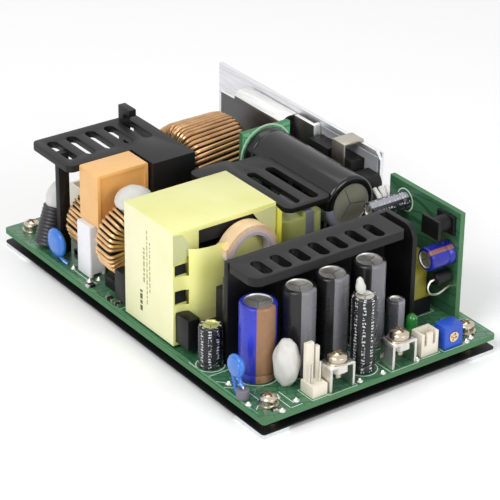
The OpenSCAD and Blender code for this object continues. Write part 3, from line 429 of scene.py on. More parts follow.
# %% Can sleeves
def sleeve(name, base, stripe, origin, axis="Z", facing=0.0, width=0.16, roughness=0.28, dashes=None):
    """Sleeve of a can whose axis passes origin. facing is the stripe's middle, in degrees round the axis."""
    f = Finish(name, roughness)
    turn = {"Z": (0, 0, -math.radians(facing)), "X": (0, -math.pi / 2, 0), "Y": (math.pi / 2, 0, 0)}[axis]
    spot = f.mapped(origin, turn)
    if axis != "Z":
        spin = f.add("ShaderNodeMapping")
        spin.inputs["Rotation"].default_value = (0, 0, -math.radians(facing))
        f.link(spot, spin.inputs["Vector"])
        spot = spin.outputs[0]
    around = f.add("ShaderNodeTexGradient", gradient_type="RADIAL")
    f.link(spot, around.inputs["Vector"])
    band = [(0.0, (0, 0, 0)), (0.5 - width / 2, (1, 1, 1)), (0.5 + width / 2, (0, 0, 0))]
    mask = f.ramp(around.outputs["Fac"], band, "CONSTANT")
    cloud = f.noise(200, 3)
    ground = f.ramp(cloud, [(0.3, shade(base, 0.85)), (0.7, shade(base, 1.2))])
    paint = f.mix(mask, ground, stripe)
    if dashes:
        split = f.add("ShaderNodeSeparateXYZ")
        f.link(spot, split.inputs[0])
        run = f.math("FRACT", f.math("MULTIPLY", split.outputs["Z"], 1 / (dashes * MM)))
        columns = f.math("FRACT", f.math("MULTIPLY", around.outputs["Fac"], 9))
        marks = f.math("MULTIPLY", f.math("GREATER_THAN", run, 0.4), f.math("GREATER_THAN", columns, 0.62))
        breaks = f.math("GREATER_THAN", f.noise(1700, 1), 0.5)
        paint = f.mix(f.math("MULTIPLY", marks, breaks), paint, srgb(196, 198, 204))
    f.colour(paint)
    f.rough(cloud, roughness - 0.08, roughness + 0.08)
    f.bump(f.noise(500, 2), 0.02)
    f.set("Specular IOR Level", 0.35)
    f.set("Coat Weight", 0.2)
    f.set("Coat Roughness", 0.06)
    return f.material


# %% [markdown]
# ## Ways to make a piece
# A mesh is built in a bmesh with a few operators, then handed to `piece`, which gives it materials, smooth
# shading with crisp corners, a body to ride on and the CAD nodes that it stands for. `softened` takes a copy
# of a CAD node, welds its loose triangles, joins flat ones and bevels its sharp edges: moulded and punched
# parts are never knife sharp, and the thin highlight on an edge is what makes them look real.

# %% Helpers
def piece(bm, name, materials, stands_for=(), body=main_body, crease=32):
    bmesh.ops.recalc_face_normals(bm, faces=bm.faces[:])
    for edge in bm.edges:
        edge.smooth = not (len(edge.link_faces) == 2 and edge.calc_face_angle(0) > math.radians(crease))
    for face in bm.faces:
        face.smooth = True
    mesh = bpy.data.meshes.new(name)
    bm.to_mesh(mesh)
    bm.free()
    for material in materials:
        mesh.materials.append(material)
    obj = bpy.data.objects.new(name, mesh)
    bpy.context.scene.collection.objects.link(obj)
    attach(obj, body)
    if stands_for:
        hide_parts(*stands_for)
    return obj


def welded(node):
    """A bmesh copy of a CAD node with its triangles joined into flat faces."""
    bm = bmesh.new()
    bm.from_mesh(nodes[node].data)
    bmesh.ops.remove_doubles(bm, verts=bm.verts[:], dist=2e-6)
    bmesh.ops.dissolve_limit(bm, angle_limit=math.radians(1.2), verts=bm.verts[:], edges=bm.edges[:])
    return bm


def round_edges(bm, radius_mm, segments=2, angle=28):
    sharp = [e for e in bm.edges if len(e.link_faces) == 2 and e.calc_face_angle(0) > math.radians(angle)]
    bmesh.ops.bevel(bm, geom=sharp, offset=radius_mm * MM, offset_type="OFFSET", segments=segments,
                    profile=0.5, affect="EDGES", clamp_overlap=True, material=-1)


def softened(node, materials, radius_mm=0.15, segments=2, paint=None, body=main_body):
    bm = welded(node)
    round_edges(bm, radius_mm, segments)
    if paint:
        for face in bm.faces:
            face.material_index = paint(face.calc_center_median(), face.normal)
    return piece(bm, node + "_finished", materials, (node,), body)


def block(bm, low, high, radius_mm=0.0, segments=2, index=0):
    """Box between two corners, in metres, with all its edges rounded."""
    low, high = Vector(low), Vector(high)
    size = high - low
    place = Matrix.Translation((low + high) / 2) @ Matrix.Diagonal((*size, 1))
    made = bmesh.ops.create_cube(bm, size=1, matrix=place)
    faces = {f for v in made["verts"] for f in v.link_faces}
    if radius_mm:
        edges = list({e for v in made["verts"] for e in v.link_edges})
        made = bmesh.ops.bevel(bm, geom=edges, offset=radius_mm * MM, segments=segments, profile=0.5,
                               affect="EDGES", clamp_overlap=True, material=-1)
        faces = {f for v in made["verts"] for f in v.link_faces}
    for face in faces:
        face.material_index = index
    return faces


def corners_of(faces):
    return list({v for f in faces for v in f.verts})


def lathe(bm, outline, steps=48, origin=(0, 0, 0), turn=None, index=None):
    """Spins an outline of (radius, height) points, in mm, round Z, then turns and moves the result."""
    verts = [bm.verts.new((r * MM, 0, z * MM)) for r, z in outline]
    edges = [bm.edges.new(pair) for pair in zip(verts, verts[1:])]
    before = set(bm.verts) - set(verts)
    bmesh.ops.spin(bm, geom=verts + edges, cent=(0, 0, 0), axis=(0, 0, 1), angle=math.tau, steps=steps,
                   use_merge=True, use_duplicate=False)
    made = [v for v in bm.verts if v not in before]
    bmesh.ops.remove_doubles(bm, verts=made, dist=1e-7)
    made = [v for v in bm.verts if v not in before]
    faces = {f for v in made for f in v.link_faces}
    if index:
        for face in faces:
            c = face.calc_center_median()
            face.material_index = index(c.xy.length / MM, c.z / MM)
    bmesh.ops.transform(bm, matrix=Matrix.Translation(origin) @ (turn or Matrix()), verts=made)
    return made


def arc(centre, radius, start, end, steps=5):
    """Points on an arc in the lathe's plane, angles in degrees."""
    span = [start + (end - start) * i / steps for i in range(steps + 1)]
    return [(centre[0] + radius * math.cos(math.radians(a)), centre[1] + radius * math.sin(math.radians(a)))
            for a in span]


def tube(bm, path, radius_mm, sides=10, index=0):
    """Round wire along a path of points in metres, made by a curve and joined into the bmesh."""
    curve = bpy.data.curves.new("wire_path", "CURVE")
    curve.dimensions = "3D"
    curve.bevel_depth = radius_mm * MM
    curve.bevel_resolution = max(0, sides // 4 - 1)
    curve.use_fill_caps = True
    curve.resolution_u = 6
    spline = curve.splines.new("BEZIER")
    spline.bezier_points.add(len(path) - 1)
    for point, place in zip(spline.bezier_points, path):
        point.co = place
        point.handle_left_type = point.handle_right_type = "AUTO"
    holder = bpy.data.objects.new("wire_path", curve)
    mesh = bpy.data.meshes.new_from_object(holder)
    count = len(bm.faces)
    bm.from_mesh(mesh)
    bm.faces.ensure_lookup_table()
    for face in bm.faces[count:]:
        face.material_index = index
    bpy.data.objects.remove(holder)
    bpy.data.curves.remove(curve)
    bpy.data.meshes.remove(mesh)


def middle(node):
    low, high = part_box(node)
    return (low + high) / 2


AXIS_TO_X = Matrix.Rotation(math.pi / 2, 4, "Y")
AXIS_TO_Y = Matrix.Rotation(-math.pi / 2, 4, "X")
board_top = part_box("main_board")[1].z
print("board top mm:", round(board_top / MM, 2))

# %% [markdown]
# ## Sheet metal, film, board and their fixings
# Everything stands on a folded sheet of aluminium. A black film keeps the solder joints from touching it,
# and four spacers carry the board. Punched metal has a small rolled edge on one side, so the CAD copies get
# a fine bevel. The board's cut edges show its pale glass fibre, so faces that point sideways get another
# material.

# %% Chassis, film and board
BOARD_EDGE = plastic("board_edge", srgb(70, 118, 78), 0.7, grain=1500, depth=0.03)
softened("chassis", [SHEET_ALUMINIUM], 0.25, 3)
softened("insulating_sheet", [FILM_BLACK], 0.06, 1)


def board_faces(upward):
    """Picks the mask for a board's two broad faces and the fibre for its cut edges."""
    return lambda centre, normal: 0 if abs(normal.dot(upward)) > 0.8 else 1


softened("main_board", [MAIN_BOARD, BOARD_EDGE], 0.08, 1, board_faces(Vector((0, 0, 1))))
softened("control_board", [UPRIGHT_BOARD_SHADED, BOARD_EDGE], 0.08, 1, board_faces(Vector((1, 0, 0))))
softened("riser_board", [RISER_BOARD_LIT, BOARD_EDGE], 0.08, 1, board_faces(Vector((0, 1, 0))))
softened("board_spacers", [PLATED], 0.12)
softened("board_screws", [PLATED], 0.12)
print("boards and metalwork dressed")

# %% [markdown]
# ## Black covers
# The slotted covers are moulded from a stiff black plastic. Their upper edges are rounded by the tool, so the
# light draws a thin line along each edge and round each slot.

# %% Covers
softened("input_cover", [COVER_BLACK], 0.4, 3)
softened("output_cover", [COVER_BLACK], 0.4, 3)
softened("choke_cover", [COVER_BLACK], 0.3, 2)
print("covers dressed")

# %% [markdown]
# ## Heatsinks and what is clamped to them
# The upright metal plates carry the hot parts. Their flanges and folded edges are painted bright as painted
# light, and the upright plates are painted dark as painted shade. The transistors' plastic packages are pressed
# on the wall by a spring clip.

# %% Heatsinks and packages
def painted_lit_top(centre, normal):
    """Painted light and shade: the flange and the folded edge get the bright copy, the upright plate the dark
    copy.
    """
    return 1 if normal.z > 0.3 or centre.x > 0.0352 else 0


softened("primary_heatsink", [SINK_PAINTED_SHADE, SINK_PAINTED_LIGHT], 0.2, 2, painted_lit_top)
softened("folded_plate", [SINK_PAINTED_SHADE, SINK_PAINTED_LIGHT], 0.2, 2, painted_lit_top)
# The output heatsink takes the dark copy all over: painted shade.
softened("output_heatsink", [SINK_PAINTED_SHADE], 0.2)
softened("power_transistors", [PACKAGE_BLACK], 0.2)
softened("output_rectifiers", [PACKAGE_BLACK], 0.2)
softened("bridge_rectifier", [PACKAGE_BLACK], 0.3)
softened("spring_clip", [SPRING_STEEL], 0.12)
print("heatsinks and packages dressed")

# %% [markdown]
# ## Connectors and terminals
# Headers are moulded nylon, cream or black, with tinned square pins. The two output terminals are bent from
# thick tinned copper and each holds a plated screw.

# %% Connectors
softened("output_terminal_left", [TINNED], 0.2)
softened("output_terminal_right", [TINNED], 0.2)
softened("terminal_screws", [PLATED], 0.12)
softened("sense_header", [CREAM_MOULD], 0.15)
softened("fan_header", [CREAM_MOULD], 0.15)
softened("header_pins", [TINNED], 0.05, 1)
softened("input_connector", [CREAM_MOULD], 0.2)
softened("trimmer_body", [TRIMMER_BLUE], 0.2)
softened("trimmer_rotor", [BRASS_ROTOR], 0.08, 2, body="rotor")
softened("choke_bases", [BLACK_MOULD], 0.25)
softened("transformer_bobbin", [BLACK_MOULD], 0.25)
softened("capacitor_stand", [WHITE_MOULD], 0.6, 3)
print("connectors and mouldings dressed")

# %% [markdown]
# ## Sleeved cans
# An electrolytic capacitor is an aluminium can in a shrunk plastic sleeve. The sleeve curls over the rim and
# leaves the scored top bare. One outline is spun into the whole can: the crimp near its foot, the straight
# wall, the rounded shoulder, the sleeve's cut edge and the sunken top. Thin pressed lines cross the top, so
# that it can open safely. The same function lays a can on its side by turning the result.

# %% Cans
# The pressed lines are drawn in a darker grey than the top: painted shade for the grooves.
VENT_LINE_SHADE = metal("vent_line_shade", srgb(120, 118, 114), 0.45)
STRIPE_BAND = metal("stripe_band", srgb(190, 188, 184), 0.3)
CAN_BLACK = srgb(24, 24, 25)
STRIPE_GREY = srgb(118, 118, 124)
UP = Matrix()
TO_LEFT = Matrix.Rotation(-math.pi / 2, 4, "Y")
TO_FRONT = Matrix.Rotation(math.pi / 2, 4, "X")


def can(node, skin, direction=UP, top=None, lines=3, crimp=2.2, lines_turn=0.4, lip=0.35):
    """Can on a CAD node's box. direction turns +Z to the way that its top faces."""
    low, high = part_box(node)
    forward = (direction @ Vector((0, 0, 1))).normalized()
    foot = Vector([(l + h) / 2 - abs(a) * (h - l) / 2 * (1 if a > 0 else -1)
                   for l, h, a in zip(low, high, forward)])
    sizes = sorted(zip((abs(a) for a in forward), high - low))
    length, radius = sizes[2][1] / MM, sizes[0][1] / MM / 2
    curl = 0.12 * radius + 0.2
    rim = radius - curl - lip
    outline = [(0, 0), (radius - 0.25, 0), (radius, 0.25), (radius, crimp - 0.6), (radius - 0.3, crimp),
               (radius, crimp + 0.6), (radius, crimp + 1.2)]
    outline += arc((radius - curl, length - curl), curl, 0, 90)
    outline += [(rim, length), (rim - 0.06, length - 0.1), (rim - 0.1, length - 0.3),
                (rim * 0.6, length - 0.34), (rim * 0.25, length - 0.34), (0, length - 0.34)]
    bm = bmesh.new()
    turn = Matrix.Translation(foot) @ direction
    lathe(bm, outline, 56, index=lambda r, z: 1 if r < rim - 0.02 and z > length - 0.6 else 0)
    for i in range(lines):
        vent = block(bm, (-0.09 * MM, 0, (length - 0.36) * MM),
                     (0.09 * MM, rim * 0.86 * MM, (length - 0.31) * MM), index=2)
        spread = Matrix.Rotation(math.tau * i / lines + lines_turn, 3, "Z")
        bmesh.ops.rotate(bm, cent=(0, 0, 0), matrix=spread, verts=corners_of(vent))
    bmesh.ops.transform(bm, matrix=turn, verts=bm.verts[:])
    return piece(bm, node + "_finished", [skin, top or CAN_ALUMINIUM, VENT_LINE_SHADE], (node,), crease=40)


for number in (1, 2, 3):
    node = f"output_capacitor_{number}"
    skin = sleeve(f"can_black_{number}", CAN_BLACK, STRIPE_GREY, middle(node), facing=-85, width=0.19)
    can(node, skin, lines_turn=0.3 + 0.2 * number)

blue_skin = sleeve("can_blue", srgb(48, 58, 184), srgb(150, 112, 82), middle("output_capacitor_blue"),
                   facing=-96, width=0.19)
can("output_capacitor_blue", blue_skin)
filter_skin = sleeve("can_marked", CAN_BLACK, STRIPE_GREY, middle("filter_capacitor"), facing=-20,
                     width=0.1, dashes=0.9)
can("filter_capacitor", filter_skin)
small_skin = sleeve("can_grey", srgb(70, 70, 76), srgb(140, 140, 148), middle("small_capacitor"),
                    facing=-70, width=0.22)
can("small_capacitor", small_skin, crimp=1.6)
bias_skin = sleeve("can_bias", CAN_BLACK, STRIPE_GREY, middle("bias_capacitor"), facing=60, dashes=0.8)
YELLOWED_TOP = metal("can_top_yellow", srgb(226, 226, 176), 0.4)
can("bias_capacitor", bias_skin, top=YELLOWED_TOP, crimp=1.6)
print("standing cans made")

# %% Lying cans
control_skin = sleeve("can_control", srgb(40, 40, 46), srgb(150, 150, 160), middle("control_capacitor"),
                      "X", 205, 0.12, dashes=0.9)
can("control_capacitor", control_skin, TO_LEFT)
navy_skin = sleeve("can_navy", srgb(34, 38, 150), srgb(140, 92, 90), middle("control_capacitor_blue"),
                   "X", 215, 0.07)
can("control_capacitor_blue", navy_skin, TO_LEFT)
bulk_skin = sleeve("can_bulk", srgb(16, 16, 17), srgb(150, 148, 168), middle("bulk_capacitor"),
                   "Y", 152, 0.14, roughness=0.22)
END_DISC = plastic("end_disc", srgb(138, 136, 122), 0.45, grain=900, depth=0.03)
can("bulk_capacitor", bulk_skin, TO_FRONT, END_DISC, crimp=3, lip=0.9)
print("lying cans made")

# %% [markdown]
# ## Wound chokes
# A toroidal choke is a ring of ferrite with one thick wire wound through it, turn after turn. The turns sit
# side by side on the outside and crowd into two layers in the bore, where the ring is shorter. One turn is a
# closed loop with round corners. It is copied round the ring, tipped a little as a helix asks, and nudged by
# a seeded random amount, because a hand-wound choke is never perfectly even.

# %% Chokes
CORE_BROWN = plastic("core_brown", srgb(22, 12, 8), 0.6, grain=900, depth=0.05, shine=0.2)


def turn_path(inner, outer, half, corner):
    """Closed path of one turn: radius along X and the ring's axis along Z, in mm."""
    corners = [(outer - corner, half - corner, 0), (inner + corner, half - corner, 90),
               (inner + corner, corner - half, 180), (outer - corner, corner - half, 270)]
    points = []
    for x, z, start in corners:
        points += arc((x, z), corner, start, start + 90, 4)
        if start in (0, 180):
            points.append(((inner + outer) / 2, half if start == 0 else -half))
    return points


def loop_of_wire(bm, points, radius_mm, sides=8):
    """Sweeps a circle of wire along a closed path of (x, z) points in mm."""
    rings = []
    for i, (x, z) in enumerate(points):
        ahead, behind = points[(i + 1) % len(points)], points[i - 1]
        along = Vector((ahead[0] - behind[0], 0, ahead[1] - behind[1])).normalized()
        place = Matrix.Translation((x * MM, 0, z * MM)) @ along.to_track_quat("Z", "Y").to_matrix().to_4x4()
        made = bmesh.ops.create_circle(bm, segments=sides, radius=radius_mm * MM, matrix=place)
        rings.append(made["verts"])
    edges = {e for ring in rings for v in ring for e in v.link_edges}
    for a, b in zip(rings, rings[1:] + rings[:1]):
        pair = [e for e in edges if all(v in a or v in b for v in e.verts)]
        bmesh.ops.bridge_loops(bm, edges=pair)
    return [v for ring in rings for v in ring]


def wound_choke(node, axis, bore, turns, wire, tip, seed, gap=0.0, enamel=COPPER):
    """Ring of copper turns on a node's box. gap leaves this share of the ring bare, split in two."""
    low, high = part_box(node)
    size = (high - low) / MM
    half = (size.x if axis == "X" else size.y) / 2
    outer = size.z / 2
    rng = random.Random(seed)
    bm = bmesh.new()
    ring = [(bore + 2.6 * wire, -half + 2 * wire), (outer - 2 * wire, -half + 2 * wire),
            (outer - 2 * wire, half - 2 * wire), (bore + 2.6 * wire, half - 2 * wire)]
    lathe(bm, ring + ring[:1], 64)
    for face in bm.faces:
        face.material_index = 1
    patterns = []
    for layer in (0, 1):
        inner = bore + wire * (1 + 1.5 * layer)
        patterns.append(loop_of_wire(bm, turn_path(inner, outer - wire, half - wire, 0.2 * half + 0.4), wire))
    for i in range(turns):
        share = (i + 0.5) / turns
        half_ring = math.floor(share * 2)
        angle = math.tau * ((share * 2 - half_ring) * (1 - gap) + gap / 2 + half_ring) / 2
        geometry = patterns[i % 2] + list({f for v in patterns[i % 2] for f in v.link_faces})
        copy = bmesh.ops.duplicate(bm, geom=geometry)
        verts = [g for g in copy["geom"] if isinstance(g, bmesh.types.BMVert)]
        nudge = Matrix.Translation((rng.uniform(-0.12, 0.12) * MM, 0, rng.uniform(-0.15, 0.15) * MM))
        tilt = Matrix.Rotation(math.radians(tip + rng.uniform(-1.2, 1.2)), 4, "X")
        spin = Matrix.Rotation(angle + math.radians(rng.uniform(-0.5, 0.5)), 4, "Z")
        bmesh.ops.transform(bm, matrix=spin @ nudge @ tilt, verts=verts)
    bmesh.ops.delete(bm, geom=patterns[0] + patterns[1], context="VERTS")
    tip_over = AXIS_TO_X if axis == "X" else AXIS_TO_Y
    bmesh.ops.transform(bm, matrix=Matrix.Translation(middle(node)) @ tip_over, verts=bm.verts[:])
    made = piece(bm, node + "_wound", [enamel, CORE_BROWN], (node,))
    print(node, "turns:", turns, "faces:", len(made.data.polygons))
    return made


wound_choke("boost_choke", "X", 5, 58, 0.54, 4, 3)
wound_choke("line_choke_front", "Y", 4, 44, 0.48, -5, 5, 0.03, COPPER_LIGHT)
wound_choke("line_choke_rear", "Y", 3.6, 42, 0.48, -5, 8, 0.03, COPPER_LIGHT)

# %% [markdown]
# ## The taped transformer
# The main transformer is a ferrite core round a coil, held together with yellow polyester tape. Tape is a
# stiff thin sheet: it runs straight between edges, folds into triangles at the corners and leaves gaps that
# show the dark core. The wrap is a softened copy of the CAD shell. The folds and the bands that run on over
# the coil are strips of tape: a row of points is extruded upwards and given its thickness by solidify.

# %% Tape wrap and coil
wrap_low, wrap_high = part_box("transformer_wrap")


def wrap_painted_light(centre, normal):
    """Painted light by face: the lit left side pale, the top a shade deeper, the front the plain yellow."""
    return 0 if normal.x < -0.6 else 1 if normal.z > 0.6 else 2


# A copy of the tape a shade deeper, painted for the wrap's top faces by the way they turn to the light.
TAPE_PAINTED_TOP = tape("tape_painted_top", srgb(226, 225, 140), srgb(236, 235, 164))
softened("transformer_wrap", [TAPE_PAINTED_LIT, TAPE_PAINTED_TOP, TAPE_YELLOW], 0.14, 2, wrap_painted_light)
softened("transformer_core", [FERRITE], 0.2)
softened("transformer_coil", [TAPE_YELLOW], 0.5, 3)


def strip(bm, path, low, high, thickness=0.12, rows=3, sag=0.0, index=0):
    """A strip of tape that stands along a path of (x, y) points in mm, between two heights in mm."""
    verts = [bm.verts.new((x * MM, y * MM, low * MM)) for x, y in path]
    edges = [bm.edges.new(pair) for pair in zip(verts, verts[1:])]
    first = set(bm.faces)
    for _ in range(rows):
        grown = bmesh.ops.extrude_edge_only(bm, edges=edges)["geom"]
        verts = [g for g in grown if isinstance(g, bmesh.types.BMVert)]
        edges = [g for g in grown if isinstance(g, bmesh.types.BMEdge)]
        bmesh.ops.translate(bm, vec=(0, 0, (high - low) / rows * MM), verts=verts)
    faces = [f for f in bm.faces if f not in first]
    for v in {v for f in faces for v in f.verts}:
        level = (v.co.z / MM - low) / (high - low)
        v.co.y -= sag * MM * math.sin(math.pi * level)
    bmesh.ops.recalc_face_normals(bm, faces=faces)
    bmesh.ops.solidify(bm, geom=faces, thickness=thickness * MM)
    for face in bm.faces:
        if face not in first:
            face.material_index = index


def smooth_path(points, steps=6):
    """Points on a curve through the given (x, y) points."""
    padded = [points[0], *points, points[-1]]
    out = []
    for a, b, c, d in zip(padded, padded[1:], padded[2:], padded[3:]):
        for i in range(steps):
            t = i / steps
            out.append(tuple(0.5 * (2 * q + (r - p) * t + (2 * p - 5 * q + 4 * r - s) * t * t
                                    + (3 * q - p - 3 * r + s) * t ** 3) for p, q, r, s in zip(a, b, c, d)))
    return out + [points[-1]]


left, front = wrap_low.x / MM, wrap_low.y / MM
bulge = ((0.1, 0.15), (3.2, 0.5), (6, 2.3), (10, 3.1), (17, 3.2), (22, 3), (27, 1.6))
across = smooth_path([(left + along, front - out) for along, out in bulge])
bm = bmesh.new()
for low, high in ((15.4, 18.5), (22.8, 26.9)):
    strip(bm, across, low, high, sag=0.2)
strip(bm, across[8:], 13.4, 34.6, rows=6, sag=0.3)
piece(bm, "coil_tape_bands", [TAPE_YELLOW])
print("transformer taped")

# %% [markdown]
# ## The band that leaves the coil
# The transformer's heavy lead leaves the coil as a wide band that arches over the front and runs down to the
# board. It is built up from layers, and each layer's cut edge shows. A path of points in the X Z plane is
# extruded along Y and then given its thickness.

# %% Lead-out band
BAND_TAN = tape("band_tan", srgb(228, 192, 146), srgb(240, 214, 178), scale=380)
BAND_PINK = tape("band_pink", srgb(232, 204, 186), srgb(240, 220, 208), scale=380)
BAND_LAVENDER = tape("band_lavender", srgb(184, 174, 190), srgb(206, 198, 212), scale=380)


def ribbon(bm, path, y_low, y_high, thickness, index=0):
    """A flat band: path is (x, z) points in mm, and the band spans y_low to y_high in mm."""
    verts = [bm.verts.new((x * MM, y_low * MM, z * MM)) for x, z in path]
    edges = [bm.edges.new(pair) for pair in zip(verts, verts[1:])]
    before = set(bm.faces)
    grown = bmesh.ops.extrude_edge_only(bm, edges=edges)["geom"]
    far_edge = [g for g in grown if isinstance(g, bmesh.types.BMVert)]
    bmesh.ops.translate(bm, vec=(0, (y_high - y_low) * MM, 0), verts=far_edge)
    faces = [f for f in bm.faces if f not in before]
    bmesh.ops.solidify(bm, geom=faces, thickness=thickness * MM)
    for face in bm.faces:
        if face not in before:
            face.material_index = index


band_low, band_high = (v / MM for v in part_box("transformer_lead_out"))
arch = (band_high.x - 8.6, band_high.z - 8.6)
bm = bmesh.new()
rng = random.Random(4)
for layer in range(7):
    radius = 6.0 + 0.4 * layer
    path = [(arch[0] + radius, board_top / MM), (arch[0] + radius, arch[1] - 5)]
    path += arc(arch, radius, 0, 158 - 2 * layer, 16)
    foot = path[-1]
    path += [(foot[0] - 0.5, foot[1] - 0.7), (foot[0] - 1.4, foot[1] - 1.1),
             (foot[0] - 2.6 + 0.2 * layer, foot[1] - 1.2)]
    inset = rng.uniform(0, 0.25)
    colour = 2 if layer < 2 else 1 if layer < 5 else 0
    ribbon(bm, path, band_low.y + inset, band_high.y - inset, 0.36, colour)
piece(bm, "lead_out_layers", [BAND_TAN, BAND_PINK, BAND_LAVENDER], ("transformer_lead_out",))
print("lead-out band made")

# %% [markdown]
# ## Folds of tape
# Where the wrap turns a corner, spare tape is pressed flat into a triangle. A fold is a flat outline with a
# little thickness that lies on the wrap's front, painted a darker olive as painted shade for a facet turned
# away from the light. One bright flap lies on its right side.

# %% Tape folds
# The darker olive tape is painted shade for the folds.
TAPE_PAINTED_SHADE = tape("tape_painted_shade", srgb(206, 210, 150), srgb(220, 222, 168))
TAPE_BRIGHT = tape("tape_bright", srgb(226, 224, 70), srgb(236, 234, 110))


def fold(bm, outline, lift, index):
    """A flat fold on the wrap's front: outline is (x, z) in mm, z above the board."""
    y = wrap_low.y - lift * MM
    face = bm.faces.new([bm.verts.new((x * MM, y, board_top + z * MM)) for x, z in outline])
    face.normal_update()
    face.material_index = index
    bmesh.ops.solidify(bm, geom=[face], thickness=0.1 * MM)


bm = bmesh.new()
fold(bm, [(-37.0, 33.4), (-34.2, 32.9), (-30.2, 27.3), (-37.0, 24.6)], 0.08, 0)
fold(bm, [(-11.7, 32.4), (-4.6, 33.2), (-4.6, 24.2), (-8.4, 28.8), (-10.0, 30.0)], 0.08, 0)
right = wrap_high.x + 0.1 * MM
flap = [(right, wrap_low.y, 12), (right, wrap_low.y - 2.2 * MM, 15),
        (right + 0.6 * MM, wrap_low.y - 1.6 * MM, 31.5), (right, wrap_low.y + 2 * MM, 32.9)]
face = bm.faces.new([bm.verts.new((x, y, board_top + z * MM)) for x, y, z in flap])
face.normal_update()
face.material_index = 1
bmesh.ops.solidify(bm, geom=[face], thickness=0.1 * MM)
piece(bm, "tape_folds", [TAPE_PAINTED_SHADE, TAPE_BRIGHT])
print("tape folded")

# %% [markdown]
# ## Plain printed bars
# A wound part usually carries a printed code. Here it is only a few plain bars of olive ink on the wrap's
# left side: thin boxes of seeded random length in upright rows. A row is given by its distance behind the
# wrap's front edge, its width, its bottom and top, all in mm, and its ink.

# %% Printed bars
INK_OLIVE = plastic("ink_olive", srgb(168, 166, 112), 0.6)
INK_DARK = plastic("ink_dark", srgb(84, 84, 60), 0.6)
BAR_ROWS = ((10.6, 0.45, 12, 26, 0), (11.9, 0.45, 8, 30, 0), (13.2, 0.7, 14, 24, 0), (14.4, 1.1, 5, 11, 1))
INK_DEPTH = 0.02 * MM
bm = bmesh.new()
rng = random.Random(17)
for behind, wide, low, high, ink in BAR_ROWS:
    z = low
    y = wrap_low.y + behind * MM
    while z < high:
        step = rng.uniform(0.5, 1.6)
        block(bm, (wrap_low.x - INK_DEPTH, y, board_top + z * MM),
              (wrap_low.x + INK_DEPTH, y + wide * MM, board_top + (z + step) * MM), index=ink)
        z += step + 0.45
piece(bm, "printed_bars", [INK_OLIVE, INK_DARK])
print("bars printed")

# %% [markdown]
# ## Box capacitor, discs and sealant
# The box capacitor is a moulded shell filled with resin, and its open front is painted a shade deeper: partly
# the resin, partly painted shade on the less lit front. The two small discs are dipped: the coat is thin at the
# rim, thick in the middle and runs a little way down the legs.
# Dots of white silicone hold tall parts against shaking. They are soft, uneven lumps, so a sphere is shaped
# and then pushed in and out by noise.

# %% Box capacitor
stand_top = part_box("capacitor_stand")[1].z


def box_paint(centre, normal):
    """Resin on the front, painted a shade deeper that is also painted shade, tin on the legs, moulding
    elsewhere.
    """
    if centre.z < stand_top - 0.1 * MM:
        return 2
    return 1 if normal.y < -0.7 else 0


softened("x_capacitor", [ORANGE_CASE, ORANGE_RESIN_AND_SHADE, TINNED], 0.5, 3, box_paint)


# %% Dipped discs
def dipped_disc(node, centre, radius, half, legs):
    """A lens of epoxy on edge with coated legs: each leg is a path of points in metres."""
    bm = bmesh.new()
    outline = [(0, -half), (radius * 0.5, -half * 0.96), (radius * 0.8, -half * 0.8)]
    outline += arc((radius - half * 0.62, 0), half * 0.62, -80, 80, 8)
    outline += [(radius * 0.8, half * 0.8), (radius * 0.5, half * 0.96), (0, half)]
    lathe(bm, outline, 48, centre, AXIS_TO_X)
    for path, coated in legs:
        tube(bm, path, 0.34, 8, 1)
        tube(bm, path[:coated], 0.62, 10, 0)
    return piece(bm, node + "_dipped", [BLUE_DIP, TINNED], (node,), crease=60)


low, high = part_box("y_capacitor")
radius = (high.y - low.y) / 2
hub = Vector(((low.x + high.x) / 2, (low.y + high.y) / 2, high.z - radius))
legs = []
for s in (-1, 1):
    knee = hub + Vector((0.4 * MM, (s * 2.2 - 0.6) * MM, -radius - 0.2 * MM))
    foot = Vector((hub.x + 1.0 * MM, hub.y + (s * 2.6 - 1.6) * MM, board_top))
    legs.append(([hub + Vector((0, s * 1.8 * MM, -radius * 0.85)), knee, foot], 3))
dipped_disc("y_capacitor", hub, radius / MM, 1.3, legs)
print("large disc radius mm:", round(radius / MM, 2))

# %% Small disc and its ferrite sleeve
low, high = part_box("disc_capacitor")
radius = 3.2 * MM
hub = Vector(((low.x + high.x) / 2, high.y - radius, high.z - radius))
bead_middle = middle("ferrite_sleeve")
bead_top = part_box("ferrite_sleeve")[1].z
front_leg = [hub + Vector((0, -1.2 * MM, -radius * 0.8)), hub + Vector((0, -1.9 * MM, -radius * 1.25)),
             Vector((bead_middle.x, bead_middle.y, bead_top + 0.4 * MM)),
             Vector((bead_middle.x, bead_middle.y, board_top))]
rear_leg = [hub + Vector((0, 1.4 * MM, -radius * 0.8)),
            Vector((bead_middle.x, bead_middle.y + 2.4 * MM, board_top))]
dipped_disc("disc_capacitor", hub, radius / MM, 1.2, [(front_leg, 3), (rear_leg, 2)])
softened("ferrite_sleeve", [FERRITE_GREY], 0.3, 3)


# %% Sealant
def lump(bm, low, high, seed, lean=0.0, taper=0.0, rough_mm=0.22, flat=0.62):
    """A soft lump that fills a box. lean tips it towards +X and taper narrows its top."""
    made = bmesh.ops.create_icosphere(bm, subdivisions=4, radius=1)
    half, centre = (high - low) / 2, (high + low) / 2
    offset = Vector((seed * 3.7, seed * 1.9, 0))
    for v in made["verts"]:
        p = v.co.copy()
        if p.z < -flat:
            p.z = -flat
        level = (p.z + flat) / (1 + flat)
        width = 1 - taper * level
        push = 1 + rough_mm * MM / half.x * noise.noise(v.co * 2.2 + offset)
        v.co = centre + Vector((p.x * half.x * width * push + lean * level, p.y * half.y * width * push,
                                (2 * level - 1) * half.z * push))


